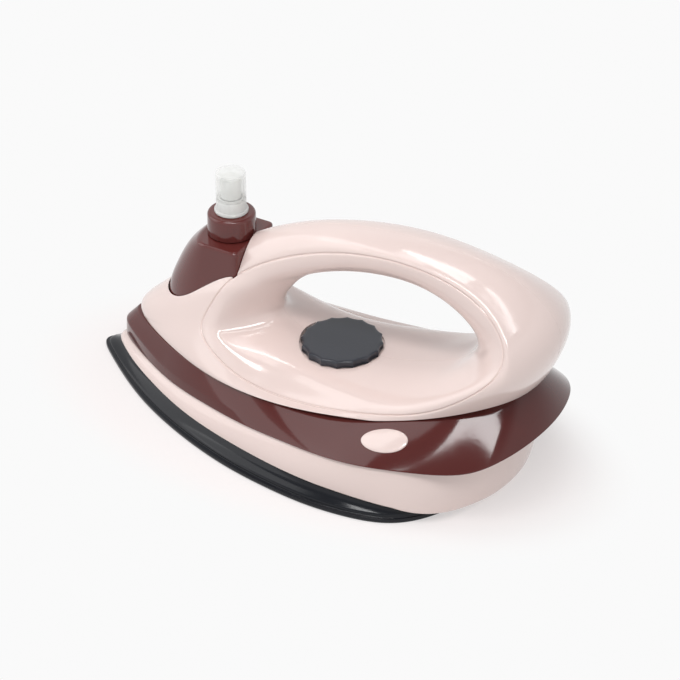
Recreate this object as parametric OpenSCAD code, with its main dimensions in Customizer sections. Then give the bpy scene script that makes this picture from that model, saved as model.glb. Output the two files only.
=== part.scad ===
// Toy iron with a working mist sprayer.
// The origin lies on the floor under the middle of the body, the toe points along -X.

/* [Body] */
// Length from the tip of the soleplate to the heel of the band
body_l = 225; // [210:1:240]
// Width of the soleplate
sole_w = 120; // [114:1:128]
// Width of the skirt of the band
band_w = 108.6; // [106:0.2:111]
// Width of the upper shell at the deck
shell_w = 82; // [78:1:85]
// Height of the top of the handle above the floor
handle_h = 105; // [101:1:110]
// Height of the soleplate
sole_h = 7.5; // [6.5:0.1:8.5]
// Height of the lower edge of the band at the toe
band_toe_h = 11; // [10:0.5:12.5]
// Height of the lower edge of the band at the heel
band_heel_h = 39; // [36:0.5:41]
// Height of the seam under the upper shell at the toe
seam_toe_h = 28; // [26.5:0.5:28.5]
// Height of the seam under the upper shell at the heel
seam_heel_h = 53.5; // [51:0.5:55]

/* [Walls] */
// Wall of the shells
wall = 2.4; // [2:0.1:2.8]
// Wall of the band, measured level
band_wall = 4; // [3.4:0.1:4.6]
// Gap between pieces that slide past each other
gap = 0.3; // [0.25:0.01:0.4]
// Radial clearance of a shaft in its bore
fit = 0.05; // [0.03:0.01:0.08]

/* [Dial] */
// Radius of the dial
dial_r = 17.8; // [16:0.1:20]
// Thickness of the dial
dial_t = 3.4; // [2.8:0.1:4]
// Number of scallops round the dial
dial_scallops = 16; // [12:1:20]
// Radius of the stem of the dial
dial_stem_r = 3; // [2.6:0.1:3.4]
// Depth of the stem below the dial
dial_stem_l = 7.8; // [7:0.1:9]

/* [Tank] */
// Length of the tank from its nose to its back
tank_l = 42.7; // [40:0.5:44]
// Width of the tank
tank_w = 31.2; // [29:0.2:32]
// How far the nose of the tank leans back at the top
tank_lean = 19; // [17:0.5:20]
// Height of the top plate of the tank above the floor
tank_top_h = 80; // [78:0.5:82]
// Height of the bottom of the tank above the floor
tank_low_h = 31; // [30.5:0.1:33]
// Wall of the tank
tank_wall = 1.8; // [1.4:0.1:2.2]
// Radius of the neck
neck_r = 8.6; // [8.2:0.1:8.8]
// Height of the neck
neck_l = 6.6; // [6:0.1:7]

/* [Sprayer] */
// Outer radius of the screw collar
collar_r = 10.5; // [10:0.1:11]
// Height of the screw collar
collar_h = 10; // [9.4:0.1:10.6]
// Radius of the clear cap
cap_r = 6.45; // [6.2:0.05:6.8]
// Height of the clear cap
cap_h = 18.8; // [18.4:0.1:20]
// Radius of the spray button
button_r = 4.5; // [4.2:0.1:4.7]
// Height of the spray button
button_h = 9.4; // [8.6:0.1:10]
// Travel of the spray button
button_travel = 4; // [3:0.5:4.2]
// Outer radius of the dip tube
dip_r = 1.6; // [1.4:0.1:1.8]

/* [Hidden] */
$fn = 48;

pink = [0.92, 0.83, 0.80];
burgundy = [0.36, 0.18, 0.17];
black = [0.14, 0.15, 0.18];
steel = [0.72, 0.73, 0.75];
clear = [0.90, 0.93, 0.92];

// Overrun of every cut past the face it leaves
over = 1;
// Reach of the blocks that trim the body, past all of it
reach = body_l + handle_h;

// Rails of the upper shell. Each one runs once round the handle hole, through the toe, up the
// front, along the top of the handle, down the heel and back along the deck. A place is a
// share of [body_l, shell_w, handle_h].
outer_rail_shares = [
    [-0.414, 0, 0.263], [-0.353, 0, 0.417], [-0.256, 0, 0.617], [-0.146, 0, 0.784],
    [-0.025, 0, 0.909], [0.107, 0, 0.975], [0.240, 0, 0.995], [0.374, 0, 0.972],
    [0.461, 0, 0.882], [0.509, 0, 0.755], [0.488, 0, 0.591], [0.441, 0, 0.438],
    [0.329, 0, 0.343], [0.204, 0, 0.276], [0.053, 0, 0.238], [-0.116, 0, 0.210],
    [-0.284, 0, 0.181]];
shoulder_rail_shares = [
    [-0.336, 0.183, 0.313], [-0.284, 0.195, 0.429], [-0.209, 0.156, 0.594],
    [-0.137, 0.104, 0.747], [-0.027, 0.096, 0.881], [0.108, 0.119, 0.952],
    [0.236, 0.127, 0.965], [0.352, 0.148, 0.923], [0.422, 0.221, 0.842], [0.459, 0.305, 0.737],
    [0.460, 0.317, 0.617], [0.428, 0.262, 0.485], [0.336, 0.328, 0.336], [0.205, 0.426, 0.330],
    [0.046, 0.468, 0.286], [-0.127, 0.443, 0.267], [-0.276, 0.293, 0.257]];
groove_rail_shares = [
    [-0.191, 0.293, 0.435], [-0.176, 0.250, 0.539], [-0.156, 0.222, 0.631],
    [-0.114, 0.155, 0.705], [-0.013, 0.141, 0.827], [0.108, 0.151, 0.917],
    [0.222, 0.160, 0.945], [0.326, 0.174, 0.918], [0.403, 0.219, 0.848], [0.440, 0.281, 0.760],
    [0.433, 0.339, 0.662], [0.373, 0.380, 0.532], [0.283, 0.395, 0.408], [0.156, 0.420, 0.335],
    [0.029, 0.407, 0.290], [-0.083, 0.407, 0.315], [-0.160, 0.348, 0.381]];
rim_rail_shares = [
    [-0.159, 0.268, 0.438], [-0.146, 0.238, 0.533], [-0.119, 0.207, 0.622],
    [-0.082, 0.153, 0.672], [-0.001, 0.135, 0.760], [0.102, 0.139, 0.845],
    [0.209, 0.146, 0.873], [0.296, 0.162, 0.847], [0.360, 0.189, 0.779], [0.393, 0.221, 0.698],
    [0.377, 0.273, 0.593], [0.339, 0.319, 0.523], [0.265, 0.339, 0.427], [0.179, 0.359, 0.382],
    [0.047, 0.337, 0.348], [-0.054, 0.324, 0.364], [-0.131, 0.299, 0.405]];
dish_rail_shares = [
    [-0.112, 0.146, 0.457], [-0.103, 0.134, 0.543], [-0.084, 0.122, 0.613],
    [-0.053, 0.085, 0.657], [0.012, 0.074, 0.732], [0.102, 0.074, 0.797], [0.204, 0.079, 0.824],
    [0.279, 0.093, 0.800], [0.338, 0.100, 0.727], [0.358, 0.116, 0.636], [0.334, 0.155, 0.554],
    [0.297, 0.187, 0.492], [0.236, 0.201, 0.429], [0.164, 0.213, 0.393], [0.044, 0.213, 0.374],
    [-0.031, 0.201, 0.391], [-0.087, 0.177, 0.414]];
hole_rail_shares = [
    [-0.076, 0, 0.486], [-0.069, 0, 0.542], [-0.051, 0, 0.598], [-0.028, 0, 0.657],
    [0.022, 0, 0.725], [0.102, 0, 0.788], [0.204, 0, 0.814], [0.271, 0, 0.793],
    [0.329, 0, 0.723], [0.346, 0, 0.635], [0.326, 0, 0.548], [0.290, 0, 0.486],
    [0.222, 0, 0.429], [0.151, 0, 0.390], [0.044, 0, 0.374], [-0.027, 0, 0.400],
    [-0.065, 0, 0.438]];

// Outlines of the lower body, toe to heel along one side, as shares of [length, width].
band_low_shares = [
    [-0.448, 0], [-0.414, 0.074], [-0.355, 0.158], [-0.262, 0.268], [-0.164, 0.346],
    [-0.058, 0.415], [0.044, 0.455], [0.140, 0.486], [0.222, 0.498], [0.296, 0.472],
    [0.366, 0.439], [0.414, 0.394], [0.449, 0.330], [0.479, 0.227], [0.495, 0.103], [0.499, 0]];
band_top_shares = [
    [-0.415, 0], [-0.386, 0.069], [-0.328, 0.152], [-0.240, 0.250], [-0.151, 0.310],
    [-0.055, 0.343], [0.035, 0.341], [0.117, 0.330], [0.202, 0.320], [0.273, 0.301],
    [0.333, 0.260], [0.375, 0.219], [0.408, 0.166], [0.431, 0.110], [0.445, 0.048], [0.449, 0]];
tray_low_shares = [
    [-0.462, 0], [-0.431, 0.067], [-0.373, 0.150], [-0.280, 0.250], [-0.182, 0.333],
    [-0.067, 0.395], [0.036, 0.434], [0.129, 0.452], [0.218, 0.448], [0.284, 0.435],
    [0.333, 0.405], [0.373, 0.333], [0.400, 0.240], [0.418, 0.150], [0.427, 0.065], [0.429, 0]];
tray_top_shares = [
    [-0.445, 0], [-0.411, 0.061], [-0.353, 0.133], [-0.260, 0.233], [-0.162, 0.305],
    [-0.056, 0.366], [0.044, 0.402], [0.136, 0.429], [0.222, 0.438], [0.289, 0.416],
    [0.345, 0.378], [0.388, 0.318], [0.420, 0.230], [0.432, 0.138], [0.436, 0.060], [0.436, 0]];
sole_lip_shares = [
    [-0.500, 0], [-0.467, 0.067], [-0.400, 0.164], [-0.316, 0.267], [-0.209, 0.363],
    [-0.084, 0.444], [0.027, 0.483], [0.124, 0.500], [0.213, 0.487], [0.276, 0.454],
    [0.320, 0.392], [0.351, 0.308], [0.369, 0.225], [0.382, 0.140], [0.389, 0.060], [0.391, 0]];
sole_top_shares = [
    [-0.460, 0], [-0.429, 0.063], [-0.372, 0.145], [-0.279, 0.244], [-0.181, 0.327],
    [-0.067, 0.388], [0.036, 0.427], [0.129, 0.443], [0.213, 0.438], [0.271, 0.417],
    [0.311, 0.375], [0.342, 0.300], [0.360, 0.220], [0.372, 0.137], [0.378, 0.060], [0.379, 0]];

// Lines on which the pieces of the body meet, seen from the side, as [share of body_l,
// share of the rise from toe to heel].
seam_line_shares = [
    [-0.500, -0.100], [-0.300, 0], [-0.130, 0.020], [-0.003, 0.039], [0.103, 0.093],
    [0.206, 0.270], [0.282, 0.447], [0.352, 0.681], [0.408, 0.870], [0.453, 1.000],
    [0.520, 1.100]];
band_line_shares = [
    [-0.500, -0.020], [-0.448, 0], [-0.355, 0.070], [-0.262, 0.110], [-0.164, 0.180],
    [-0.058, 0.250], [0.044, 0.320], [0.138, 0.390], [0.227, 0.494], [0.307, 0.552],
    [0.387, 0.623], [0.440, 0.701], [0.500, 0.914], [0.530, 0.944]];
floor_line_shares = [
    [-0.520, 1.000], [0.200, 1.000], [0.270, 0.970], [0.330, 0.820], [0.380, 0.560],
    [0.420, 0.360], [0.460, 0.320], [0.520, 0.320]];

// Profile of the side of the soleplate: [share of its height, share of the way from the lip
// to the top outline].
sole_side_shares = [
    [0, 0.10], [0.08, 0], [0.28, 0.02], [0.34, 0.20], [0.44, 0.22], [0.52, 0.40],
    [0.72, 0.72], [1.2, 1.06]];
// Bulge of the skirt of the band and of the tray, outwards, as a share of the wall.
skirt_bulge_share = 0.35;
// How many times more the skirt bulges at the toe, and where that starts and is full, as
// shares of body_l.
toe_bulge_share = 2.6;
toe_bulge_shares = [-0.43, -0.30];

// Spline tools. A curve is a uniform cubic one whose control points are sharpened, so that it
// runs through its places.
function flip(p) = [p.x, -p.y, p.z];
function tight(a, b, c) = (8 * b - a - c) / 6;
weight_rows = [[1, 4, 1, 0], [-3, 0, 3, 0], [3, -6, 3, 0], [-1, 3, -3, 1]];
function weight(t) = [1, t, t * t, t * t * t] * weight_rows / 6;
function blend4(w, a, b, c, d) = w[0] * a + w[1] * b + w[2] * c + w[3] * d;

// Half outline whose ends lie on the centre plane.
function half_line(places, steps) =
    let (n = len(places),
        c = [for (i = [0:n - 1]) tight(
            i == 0 ? flip(places[1]) : places[i - 1],
            places[i],
            i == n - 1 ? flip(places[n - 2]) : places[i + 1])])
    [for (k = [0:(n - 1) * steps])
        let (i = min(floor(k / steps), n - 2), w = weight(k / steps - i))
        k == 0 || k == (n - 1) * steps
            ? [places[i + (k == 0 ? 0 : 1)].x, 0, places[i + (k == 0 ? 0 : 1)].z]
            : blend4(w, i == 0 ? flip(c[1]) : c[i - 1], c[i], c[i + 1],
                i == n - 2 ? flip(c[n - 2]) : c[i + 2])];
// Open line whose ends run straight on.
function free_line(places, steps) =
    let (n = len(places),
        p = concat([2 * places[0] - places[1]], places, [2 * places[n - 1] - places[n - 2]]),
        c = concat([p[0]], [for (i = [1:n]) tight(p[i - 1], p[i], p[i + 1])], [p[n + 1]]))
    [for (k = [0:(n - 1) * steps])
        let (i = min(floor(k / steps), n - 2), w = weight(k / steps - i))
        blend4(w, c[i], c[i + 1], c[i + 2], c[i + 3])];

// Meeting lines as points [x, z].
line_steps = 2;
seam_line = free_line([for (s = seam_line_shares)
    [s.x * body_l, seam_toe_h + s.y * (seam_heel_h - seam_toe_h)]], line_steps);
band_line = free_line([for (s = band_line_shares)
    [s.x * body_l, band_toe_h + s.y * (band_heel_h - band_toe_h)]], line_steps);
floor_line = [for (s = floor_line_shares) [s.x * body_l, s.y * sole_h]];

// Block over or under a meeting line, right across the body.
module above(line) {
    far_x = line[len(line) - 1].x;
    rotate([90, 0, 0]) linear_extrude(reach, center = true)
        polygon(concat(line, [[far_x, reach], [line[0].x, reach]]));
}
module below(line) {
    far_x = line[len(line) - 1].x;
    rotate([90, 0, 0]) linear_extrude(reach, center = true)
        polygon(concat(line, [[far_x, -reach], [line[0].x, -reach]]));
}
// Block that holds the right half of the space, y above zero.
module right_side() {
    translate([-reach / 2, 0, -reach / 2]) cube(reach);
}

// Closed body from a stack of half outlines, lowest first, mirrored across the centre plane.
module stack(rows) {
    n = len(rows[0]);
    m = 2 * n - 2;
    top = len(rows) - 1;
    points = [for (row = rows) each concat(
        [for (i = [0:n - 1]) flip(row[i])], [for (i = [n - 2:-1:1]) row[i]])];
    function right(i) = i == 0 ? 0 : i == n - 1 ? n - 1 : m - i;
    sides = [for (r = [0:top - 1], k = [0:m - 1])
        let (a = r * m + k, b = r * m + (k + 1) % m)
        each [[a, a + m, b + m], [a, b + m, b]]];
    lids = [for (i = [0:n - 2])
        each concat(
            i == 0 ? [] : [[i, i + 1, right(i)]],
            i == n - 2 ? [] : [[right(i), i + 1, right(i + 1)]])];
    roofs = [for (f = lids) [f[2] + top * m, f[1] + top * m, f[0] + top * m]];
    polyhedron(points = points, faces = concat(sides, lids, roofs), convexity = 6);
}

// Half outlines of the lower body at their heights.
outline_steps = 2;
function half_outline(shares, width, line) = half_line(
    [for (s = shares) [s.x * body_l, s.y * width, lookup(s.x * body_l, line)]], outline_steps);
function mix_rows(a, b, f) = [for (i = [0:len(a) - 1]) a[i] + (b[i] - a[i]) * f];
// Outline moved inwards, level, by a distance or by one distance for each point.
function inset(row, d) =
    let (n = len(row), far = is_list(d) ? d : [for (p = row) d])
    [for (i = [0:n - 1])
        let (t = i == 0 ? [0, 1] : i == n - 1 ? [0, -1]
                : [row[i + 1].x - row[i - 1].x, row[i + 1].y - row[i - 1].y],
            l = norm(t))
        [row[i].x + t.y / l * far[i], i == 0 || i == n - 1 ? 0 : row[i].y - t.x / l * far[i],
            row[i].z]];

band_low = half_outline(band_low_shares, band_w, band_line);
band_top = half_outline(band_top_shares, band_w, seam_line);
tray_low = half_outline(tray_low_shares, sole_w, floor_line);
tray_top = half_outline(tray_top_shares, sole_w, band_line);
sole_lip = half_outline(sole_lip_shares, sole_w, [[-reach, 0], [reach, 0]]);
sole_top = half_outline(sole_top_shares, sole_w, [[-reach, sole_h], [reach, sole_h]]);
// Shares by which a stack overruns its lower and upper outline.
under_share = -0.15;
past_share = 1.15;
hollow_past_share = 1.35;

// Upper shell.
rails = [for (table = [outer_rail_shares, shoulder_rail_shares, groove_rail_shares,
        rim_rail_shares, dish_rail_shares, hole_rail_shares])
    [for (s = table) [s.x * body_l, s.y * shell_w, s.z * handle_h]]];
stations = len(rails[0]);
rail_spans = len(rails) - 1;
rail_rows = concat(
    [for (k = [2, 1]) [for (p = rails[k]) flip(p)]],
    rails,
    [for (k = [rail_spans - 1, rail_spans - 2]) [for (p = rails[k]) flip(p)]]);
rows_round = [for (row = rail_rows) [for (i = [0:stations - 1])
    tight(row[(i + stations - 1) % stations], row[i], row[(i + 1) % stations])]];
shell_net = [for (r = [0:len(rows_round) - 1]) [for (i = [0:stations - 1])
    r == 0 || r == len(rows_round) - 1 ? rows_round[r][i]
        : tight(rows_round[r - 1][i], rows_round[r][i], rows_round[r + 1][i])]];
// Point of the skin at station u and rail v.
function skin(u, v) =
    let (i = floor(u), j = min(floor(v), rail_spans - 1), a = weight(u - i), b = weight(v - j),
        q = [for (n = [0:3]) blend4(a,
            shell_net[j + 1 + n][(i - 1 + stations) % stations],
            shell_net[j + 1 + n][i % stations],
            shell_net[j + 1 + n][(i + 1) % stations],
            shell_net[j + 1 + n][(i + 2) % stations])])
    blend4(b, q[0], q[1], q[2], q[3]);

skin_u_steps = 3;
skin_v_steps = 3;
module right_skin() {
    nu = stations * skin_u_steps;
    nv = rail_spans * skin_v_steps;
    points = [for (k = [0:nu - 1], j = [0:nv])
        let (p = skin(k / skin_u_steps, j / skin_v_steps))
        j == 0 || j == nv ? [p.x, 0, p.z] : p];
    function at(k, j) = (k % nu) * (nv + 1) + j;
    faces = [for (k = [0:nu - 1]) each concat(
        [for (j = [0:nv - 1]) each [
            [at(k, j), at(k, j + 1), at(k + 1, j + 1)],
            [at(k, j), at(k + 1, j + 1), at(k + 1, j)]]],
        [[at(k, 0), at(k + 1, 0), at(k + 1, nv)], [at(k, 0), at(k + 1, nv), at(k, nv)]])];
    polyhedron(points = points, faces = faces, convexity = 10);
}

// Hollow of the handle, from the front foot to the heel, drawn in towards the middle of the
// section by the wall. Its first and last place are counted in steps of half a station.
hollow_first_steps = 7;
hollow_last_steps = 22;
hollow_u_steps = 2;
hollow_v_steps = 2;
function middle(u) =
    let (p = [for (v = [0:rail_spans]) skin(u, v)], n = len(p))
    [[for (q = p) q.x] * [for (q = p) 1] / n, 0, [for (q = p) q.z] * [for (q = p) 1] / n];
module handle_hollow() {
    nu = hollow_last_steps - hollow_first_steps;
    nv = rail_spans * hollow_v_steps;
    points = [for (k = [0:nu], j = [0:nv])
        let (u = (hollow_first_steps + k) / hollow_u_steps, c = middle(u),
            p = skin(u, j / hollow_v_steps),
            q = p + (c - p) / norm(c - p) * wall)
        [q.x, j == 0 || j == nv ? -over : q.y, q.z]];
    function at(k, j) = k * (nv + 1) + j;
    skins = [for (k = [0:nu - 1]) each concat(
        [for (j = [0:nv - 1]) each [
            [at(k, j), at(k, j + 1), at(k + 1, j + 1)],
            [at(k, j), at(k + 1, j + 1), at(k + 1, j)]]],
        [[at(k, 0), at(k + 1, 0), at(k + 1, nv)], [at(k, 0), at(k + 1, nv), at(k, nv)]])];
    caps = concat([for (j = [1:nv - 1]) [at(0, 0), at(0, j + 1), at(0, j)]],
        [for (j = [1:nv - 1]) [at(nu, 0), at(nu, j), at(nu, j + 1)]]);
    polyhedron(points = points, faces = concat(skins, caps), convexity = 6);
}

// Hollow under the deck: inside the rim rail in plan, and a wall under the deck.
deck_first_steps = 22;
deck_last_steps = 31;
deck_hollow_share = 0.9;
deck_rail = [for (k = [deck_last_steps:-1:deck_first_steps]) skin(k / hollow_u_steps, 3)];
module deck_hollow() {
    n = len(deck_rail);
    intersection() {
        translate([0, 0, -over]) linear_extrude(reach) polygon(concat(
            [[deck_rail[0].x, -over]],
            [for (p = deck_rail) [p.x, p.y * deck_hollow_share]],
            [[deck_rail[n - 1].x, -over]]));
        rotate([90, 0, 0]) linear_extrude(2 * reach, center = true) polygon(concat(
            [for (p = deck_rail) [p.x, p.z - wall * 1.2]],
            [[deck_rail[n - 1].x, -over], [deck_rail[0].x, -over]]));
    }
}

// Dial and the place where it turns.
dial_x = 0.05 * body_l;
dial_floor_z = 0.372 * handle_h;
dial_z = dial_floor_z + gap;
dial_boss_r = dial_stem_r + wall;
dial_boss_z = dial_z - dial_stem_l + gap;

// Screws that join the two halves of the upper shell, from the right side, as shares of
// [body_l, handle_h].
shell_screw_shares = [[-0.106, 0.62], [0.107, 0.893], [0.360, 0.875], [0.410, 0.60]];
screw_r = 1.5;
screw_head_r = 2.9;
screw_head_t = 1.6;
screw_boss_r = screw_r + wall * 0.8;
// Distance from the centre plane to the seat of the head, and depth in the other half.
shell_screw_seat = 5;
shell_screw_grip = 6;

// Screws that hold the lower shell to the upper one, as shares of [body_l, sole_w].
base_screw_shares = [[-0.053, 0.183], [0.293, 0.167]];
base_joint_z = seam_toe_h - wall;
base_screw_seat_z = base_joint_z - 5 * screw_r;
base_screw_grip = 4 * screw_r;
base_boss_r = screw_head_r + wall * 0.6;

module shell_screw_places() {
    for (s = shell_screw_shares) translate([s.x * body_l, 0, s.y * handle_h])
        rotate([-90, 0, 0]) children();
}
module base_screw_places(sides = [-1, 1]) {
    for (s = base_screw_shares, side = sides)
        translate([s.x * body_l, side * s.y * sole_w, 0]) children();
}
// Bosses of the upper shell, from the joint with the pillars of the lower one up past the seam.
module right_base_bosses() {
    for (s = base_screw_shares) translate([s.x * body_l, s.y * sole_w, base_joint_z])
        cylinder(r = base_boss_r, h = lookup(s.x * body_l, seam_line) + 2 * wall - base_joint_z);
}

// Tank in its own plan: nose at the front, square back with a slight bow.
tank_back_x = -0.1392 * body_l;
tank_nose_x = tank_back_x - tank_l;
nose_low_l = 0.54 * tank_l;
nose_top_l = 0.19 * tank_l;
tank_step_z = tank_low_h + 0.22 * (tank_top_h - tank_low_h);
tank_corner = 0.06 * tank_w;
nose_power_share = 0.92;
nose_steps = 7;
function tank_outline(z, front, nose_l, half_w, back, corner) = concat(
    [for (k = [0:nose_steps])
        let (a = 90 * k / nose_steps)
        [front + nose_l * (1 - pow(cos(a), nose_power_share)),
            half_w * pow(sin(a), nose_power_share), z]],
    [[back - corner, half_w, z], [back - corner / 8, half_w - corner, z], [back, 0, z]]);
// Lean of the nose: [share of the height above the skin, share of the lean].
nose_lean_shares = [[0, 0], [0.17, 0.04], [0.31, 0.12], [0.47, 0.26], [0.66, 0.45],
    [0.79, 0.61], [0.895, 0.77], [0.97, 0.93]];
tank_edge = 0.9;
function tank_row(z, lean, inward) = tank_outline(
    z, tank_nose_x + lean * tank_lean + inward,
    nose_low_l + (nose_top_l - nose_low_l) * lean,
    tank_w / 2 - inward, tank_back_x - inward, tank_corner);
function tank_rows(inward, low_z, high_z) = concat(
    [tank_row(low_z, 0, inward)],
    [for (s = nose_lean_shares)
        tank_row(tank_step_z + s.x * (high_z - tank_step_z), s.y, inward)],
    [tank_row(high_z, 1, inward + tank_edge)]);

// Pocket of the tank in the upper shell, open at the top.
pocket_z = tank_low_h - gap;
module tank_pocket() {
    row = tank_outline(0, tank_nose_x - gap, nose_low_l, tank_w / 2 + gap,
        tank_back_x + gap, tank_corner);
    translate([0, 0, pocket_z]) linear_extrude(reach)
        polygon(concat([for (p = row) [p.x, -p.y]],
            [for (i = [len(row) - 2:-1:1]) [row[i].x, row[i].y]]));
}

module right_upper() {
    difference() {
        union() {
            difference() {
                right_skin();
                below(seam_line);
                difference() {
                    union() {
                        handle_hollow();
                        deck_hollow();
                    }
                    shell_screw_places() translate([0, 0, -reach / 2])
                        cylinder(r = screw_boss_r, h = reach);
                    base_screw_places([1]) cylinder(r = base_boss_r, h = reach);
                }
                tank_pocket();
                translate([dial_x, 0, dial_floor_z])
                    cylinder(r = dial_r + 2 * gap, h = handle_h / 4);
            }
            intersection() {
                translate([dial_x, 0, dial_boss_z])
                    cylinder(r = dial_boss_r, h = dial_floor_z - dial_boss_z - wall / 3);
                right_side();
            }
            right_base_bosses();
        }
        translate([dial_x, 0, 0]) cylinder(r = dial_stem_r + fit, h = handle_h / 2);
        base_screw_places([1]) translate([0, 0, base_joint_z - over])
            cylinder(r = screw_r + fit, h = base_screw_grip + over);
    }
}

module upper_shell_right() color(pink) difference() {
    right_upper();
    shell_screw_places() {
        translate([0, 0, -over]) cylinder(r = screw_r + fit, h = reach);
        translate([0, 0, shell_screw_seat]) cylinder(r = screw_head_r + fit, h = reach);
    }
}
module upper_shell_left() color(pink) difference() {
    mirror([0, 1, 0]) right_upper();
    shell_screw_places() translate([0, 0, -shell_screw_grip])
        cylinder(r = screw_r + fit, h = reach);
}

// Band.
band_mid = inset(mix_rows(band_low, band_top, 0.5), [for (p = band_low)
    -skirt_bulge_share * wall * (1 + lookup(p.x, [[toe_bulge_shares[0] * body_l,
        toe_bulge_share], [toe_bulge_shares[1] * body_l, 0]]))]);
module band_body() {
    difference() {
        stack([mix_rows(band_low, band_top, under_share), band_mid,
            mix_rows(band_low, band_top, past_share)]);
        stack([mix_rows(inset(tray_top, wall), inset(band_top, band_wall), 2 * under_share),
            mix_rows(inset(tray_top, wall), inset(band_top, band_wall), hollow_past_share)]);
        above(seam_line);
        below(band_line);
    }
}

// Oval inserts in the skirt: a frame on the skin of the band at their middle.
insert_l = 20.6;
insert_h = 11;
insert_t = 2.2;
insert_seat = 1.4;
insert_station_share = 0.567;
insert_rise_share = 0.595;
insert_sides = 32;
insert_i = round(insert_station_share * (len(band_low) - 1));
insert_mid = mix_rows(inset(band_low, -skirt_bulge_share * wall),
    inset(band_top, -skirt_bulge_share * wall), insert_rise_share);
insert_p = insert_mid[insert_i];
function unit(v) = v / norm(v);
insert_t_dir = unit(insert_mid[insert_i + 1] - insert_mid[insert_i - 1]);
insert_up = unit(band_top[insert_i] - band_low[insert_i]);
insert_n = unit(cross(insert_up, insert_t_dir));
insert_v = cross(insert_n, insert_t_dir);
function oval(l, h, n) = [for (k = [0:n - 1])
    let (a = 360 * k / n) [l / 2 * cos(a), h / 2 * sin(a)]];
module at_insert() {
    multmatrix([
        [insert_t_dir.x, insert_v.x, insert_n.x, insert_p.x],
        [insert_t_dir.y, insert_v.y, insert_n.y, insert_p.y],
        [insert_t_dir.z, insert_v.z, insert_n.z, insert_p.z],
        [0, 0, 0, 1]]) children();
}
module right_insert() at_insert() {
    translate([0, 0, -insert_seat]) linear_extrude(insert_t)
        polygon(oval(insert_l, insert_h, insert_sides));
}
module right_band() difference() {
    intersection() {
        band_body();
        right_side();
    }
    at_insert() translate([0, 0, -insert_seat]) linear_extrude(insert_t + over)
        polygon(oval(insert_l, insert_h, insert_sides));
}
module band_right() color(burgundy) right_band();
module band_left() color(burgundy) mirror([0, 1, 0]) right_band();
module insert_right() color(pink) right_insert();
module insert_left() color(pink) mirror([0, 1, 0]) right_insert();

// Tray under the band.
sole_screw_shares = [-0.30, 0.02, 0.24];
module sole_screw_places() {
    for (s = sole_screw_shares) translate([s * body_l, 0, 0]) children();
}
sole_boss_r = screw_r + wall * 0.8;
sole_screw_l = sole_h + 2 * wall;
module lower_shell() color(pink) difference() {
    union() {
        difference() {
            stack([mix_rows(tray_low, tray_top, under_share),
                mix_rows(inset(tray_low, -skirt_bulge_share * wall),
                    inset(tray_top, -skirt_bulge_share * wall), 0.45),
                mix_rows(tray_low, tray_top, past_share)]);
            stack([
                [for (p = inset(tray_low, wall)) [p.x, p.y, sole_h + wall]],
                mix_rows(inset(tray_low, wall), inset(tray_top, wall), hollow_past_share)]);
            above(band_line);
            below(floor_line);
        }
        base_screw_places() translate([0, 0, sole_h + wall / 2])
            cylinder(r = base_boss_r, h = base_joint_z - sole_h - wall / 2);
        sole_screw_places() translate([0, 0, sole_h + wall / 2])
            cylinder(r = sole_boss_r, h = sole_screw_l - sole_h);
    }
    base_screw_places() {
        cylinder(r = screw_head_r + fit, h = base_screw_seat_z);
        cylinder(r = screw_r + fit, h = reach);
    }
    sole_screw_places() cylinder(r = screw_r + fit, h = sole_screw_l);
}

module soleplate() color(black) difference() {
    stack([for (s = sole_side_shares)
        [for (p = mix_rows(sole_lip, sole_top, s.y)) [p.x, p.y, s.x * sole_h]]]);
    above(floor_line);
    difference() {
        stack([for (z = [wall, sole_h + over]) [for (p = inset(sole_top, wall)) [p.x, p.y, z]]]);
        sole_screw_places() cylinder(r = sole_boss_r, h = sole_h);
    }
    sole_screw_places() {
        translate([0, 0, -over]) cylinder(r = screw_r + fit, h = reach);
        translate([0, 0, -over]) cylinder(r = screw_head_r + fit, h = screw_head_t + gap + over);
    }
}

// Pan head screw, seat of the head at the origin, shank along +Z.
module screw(length) {
    cylinder(r = screw_r, h = length);
    translate([0, 0, -screw_head_t]) cylinder(r = screw_head_r, h = screw_head_t);
}
module shell_screws() color(steel) shell_screw_places() translate([0, 0, shell_screw_seat])
    mirror([0, 0, 1]) screw(shell_screw_seat + shell_screw_grip);
module base_screws() color(steel) base_screw_places() translate([0, 0, base_screw_seat_z])
    screw(base_joint_z - base_screw_seat_z + base_screw_grip - screw_r);
module sole_screws() color(steel) sole_screw_places() translate([0, 0, screw_head_t + gap])
    screw(sole_screw_l - screw_head_t - screw_r);

// Dial.
scallop_r = dial_r / 3;
scallop_depth = 0.7;
dial_dome = 0.7;
dial_pilot_l = dial_stem_l - wall / 2;
module dial_knob() color(black) translate([dial_x, 0, dial_z]) difference() {
    union() {
        intersection() {
            linear_extrude(dial_t + dial_dome + over) difference() {
                circle(dial_r);
                for (k = [0:dial_scallops - 1]) rotate(360 * k / dial_scallops)
                    translate([dial_r + scallop_r - scallop_depth, 0]) circle(scallop_r);
            }
            rotate_extrude() polygon(concat([[0, 0], [dial_r - dial_dome, 0], [dial_r, dial_dome],
                [dial_r, dial_t - dial_dome]],
                [for (k = [0:6]) let (f = 1 - k / 6)
                    [(dial_r - dial_dome) * f, dial_t - dial_dome * f * f]]));
        }
        translate([0, 0, -dial_stem_l]) cylinder(r = dial_stem_r, h = dial_stem_l + dial_t / 2);
    }
    translate([0, 0, -dial_stem_l - over]) cylinder(r = screw_r - 2 * fit, h = dial_pilot_l + over);
}
washer_t = 0.8;
module dial_washer() color(steel) translate([dial_x, 0, dial_z - dial_stem_l - washer_t])
    difference() {
        cylinder(r = dial_boss_r, h = washer_t);
        translate([0, 0, -over]) cylinder(r = screw_r, h = washer_t + 2 * over);
    }
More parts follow.
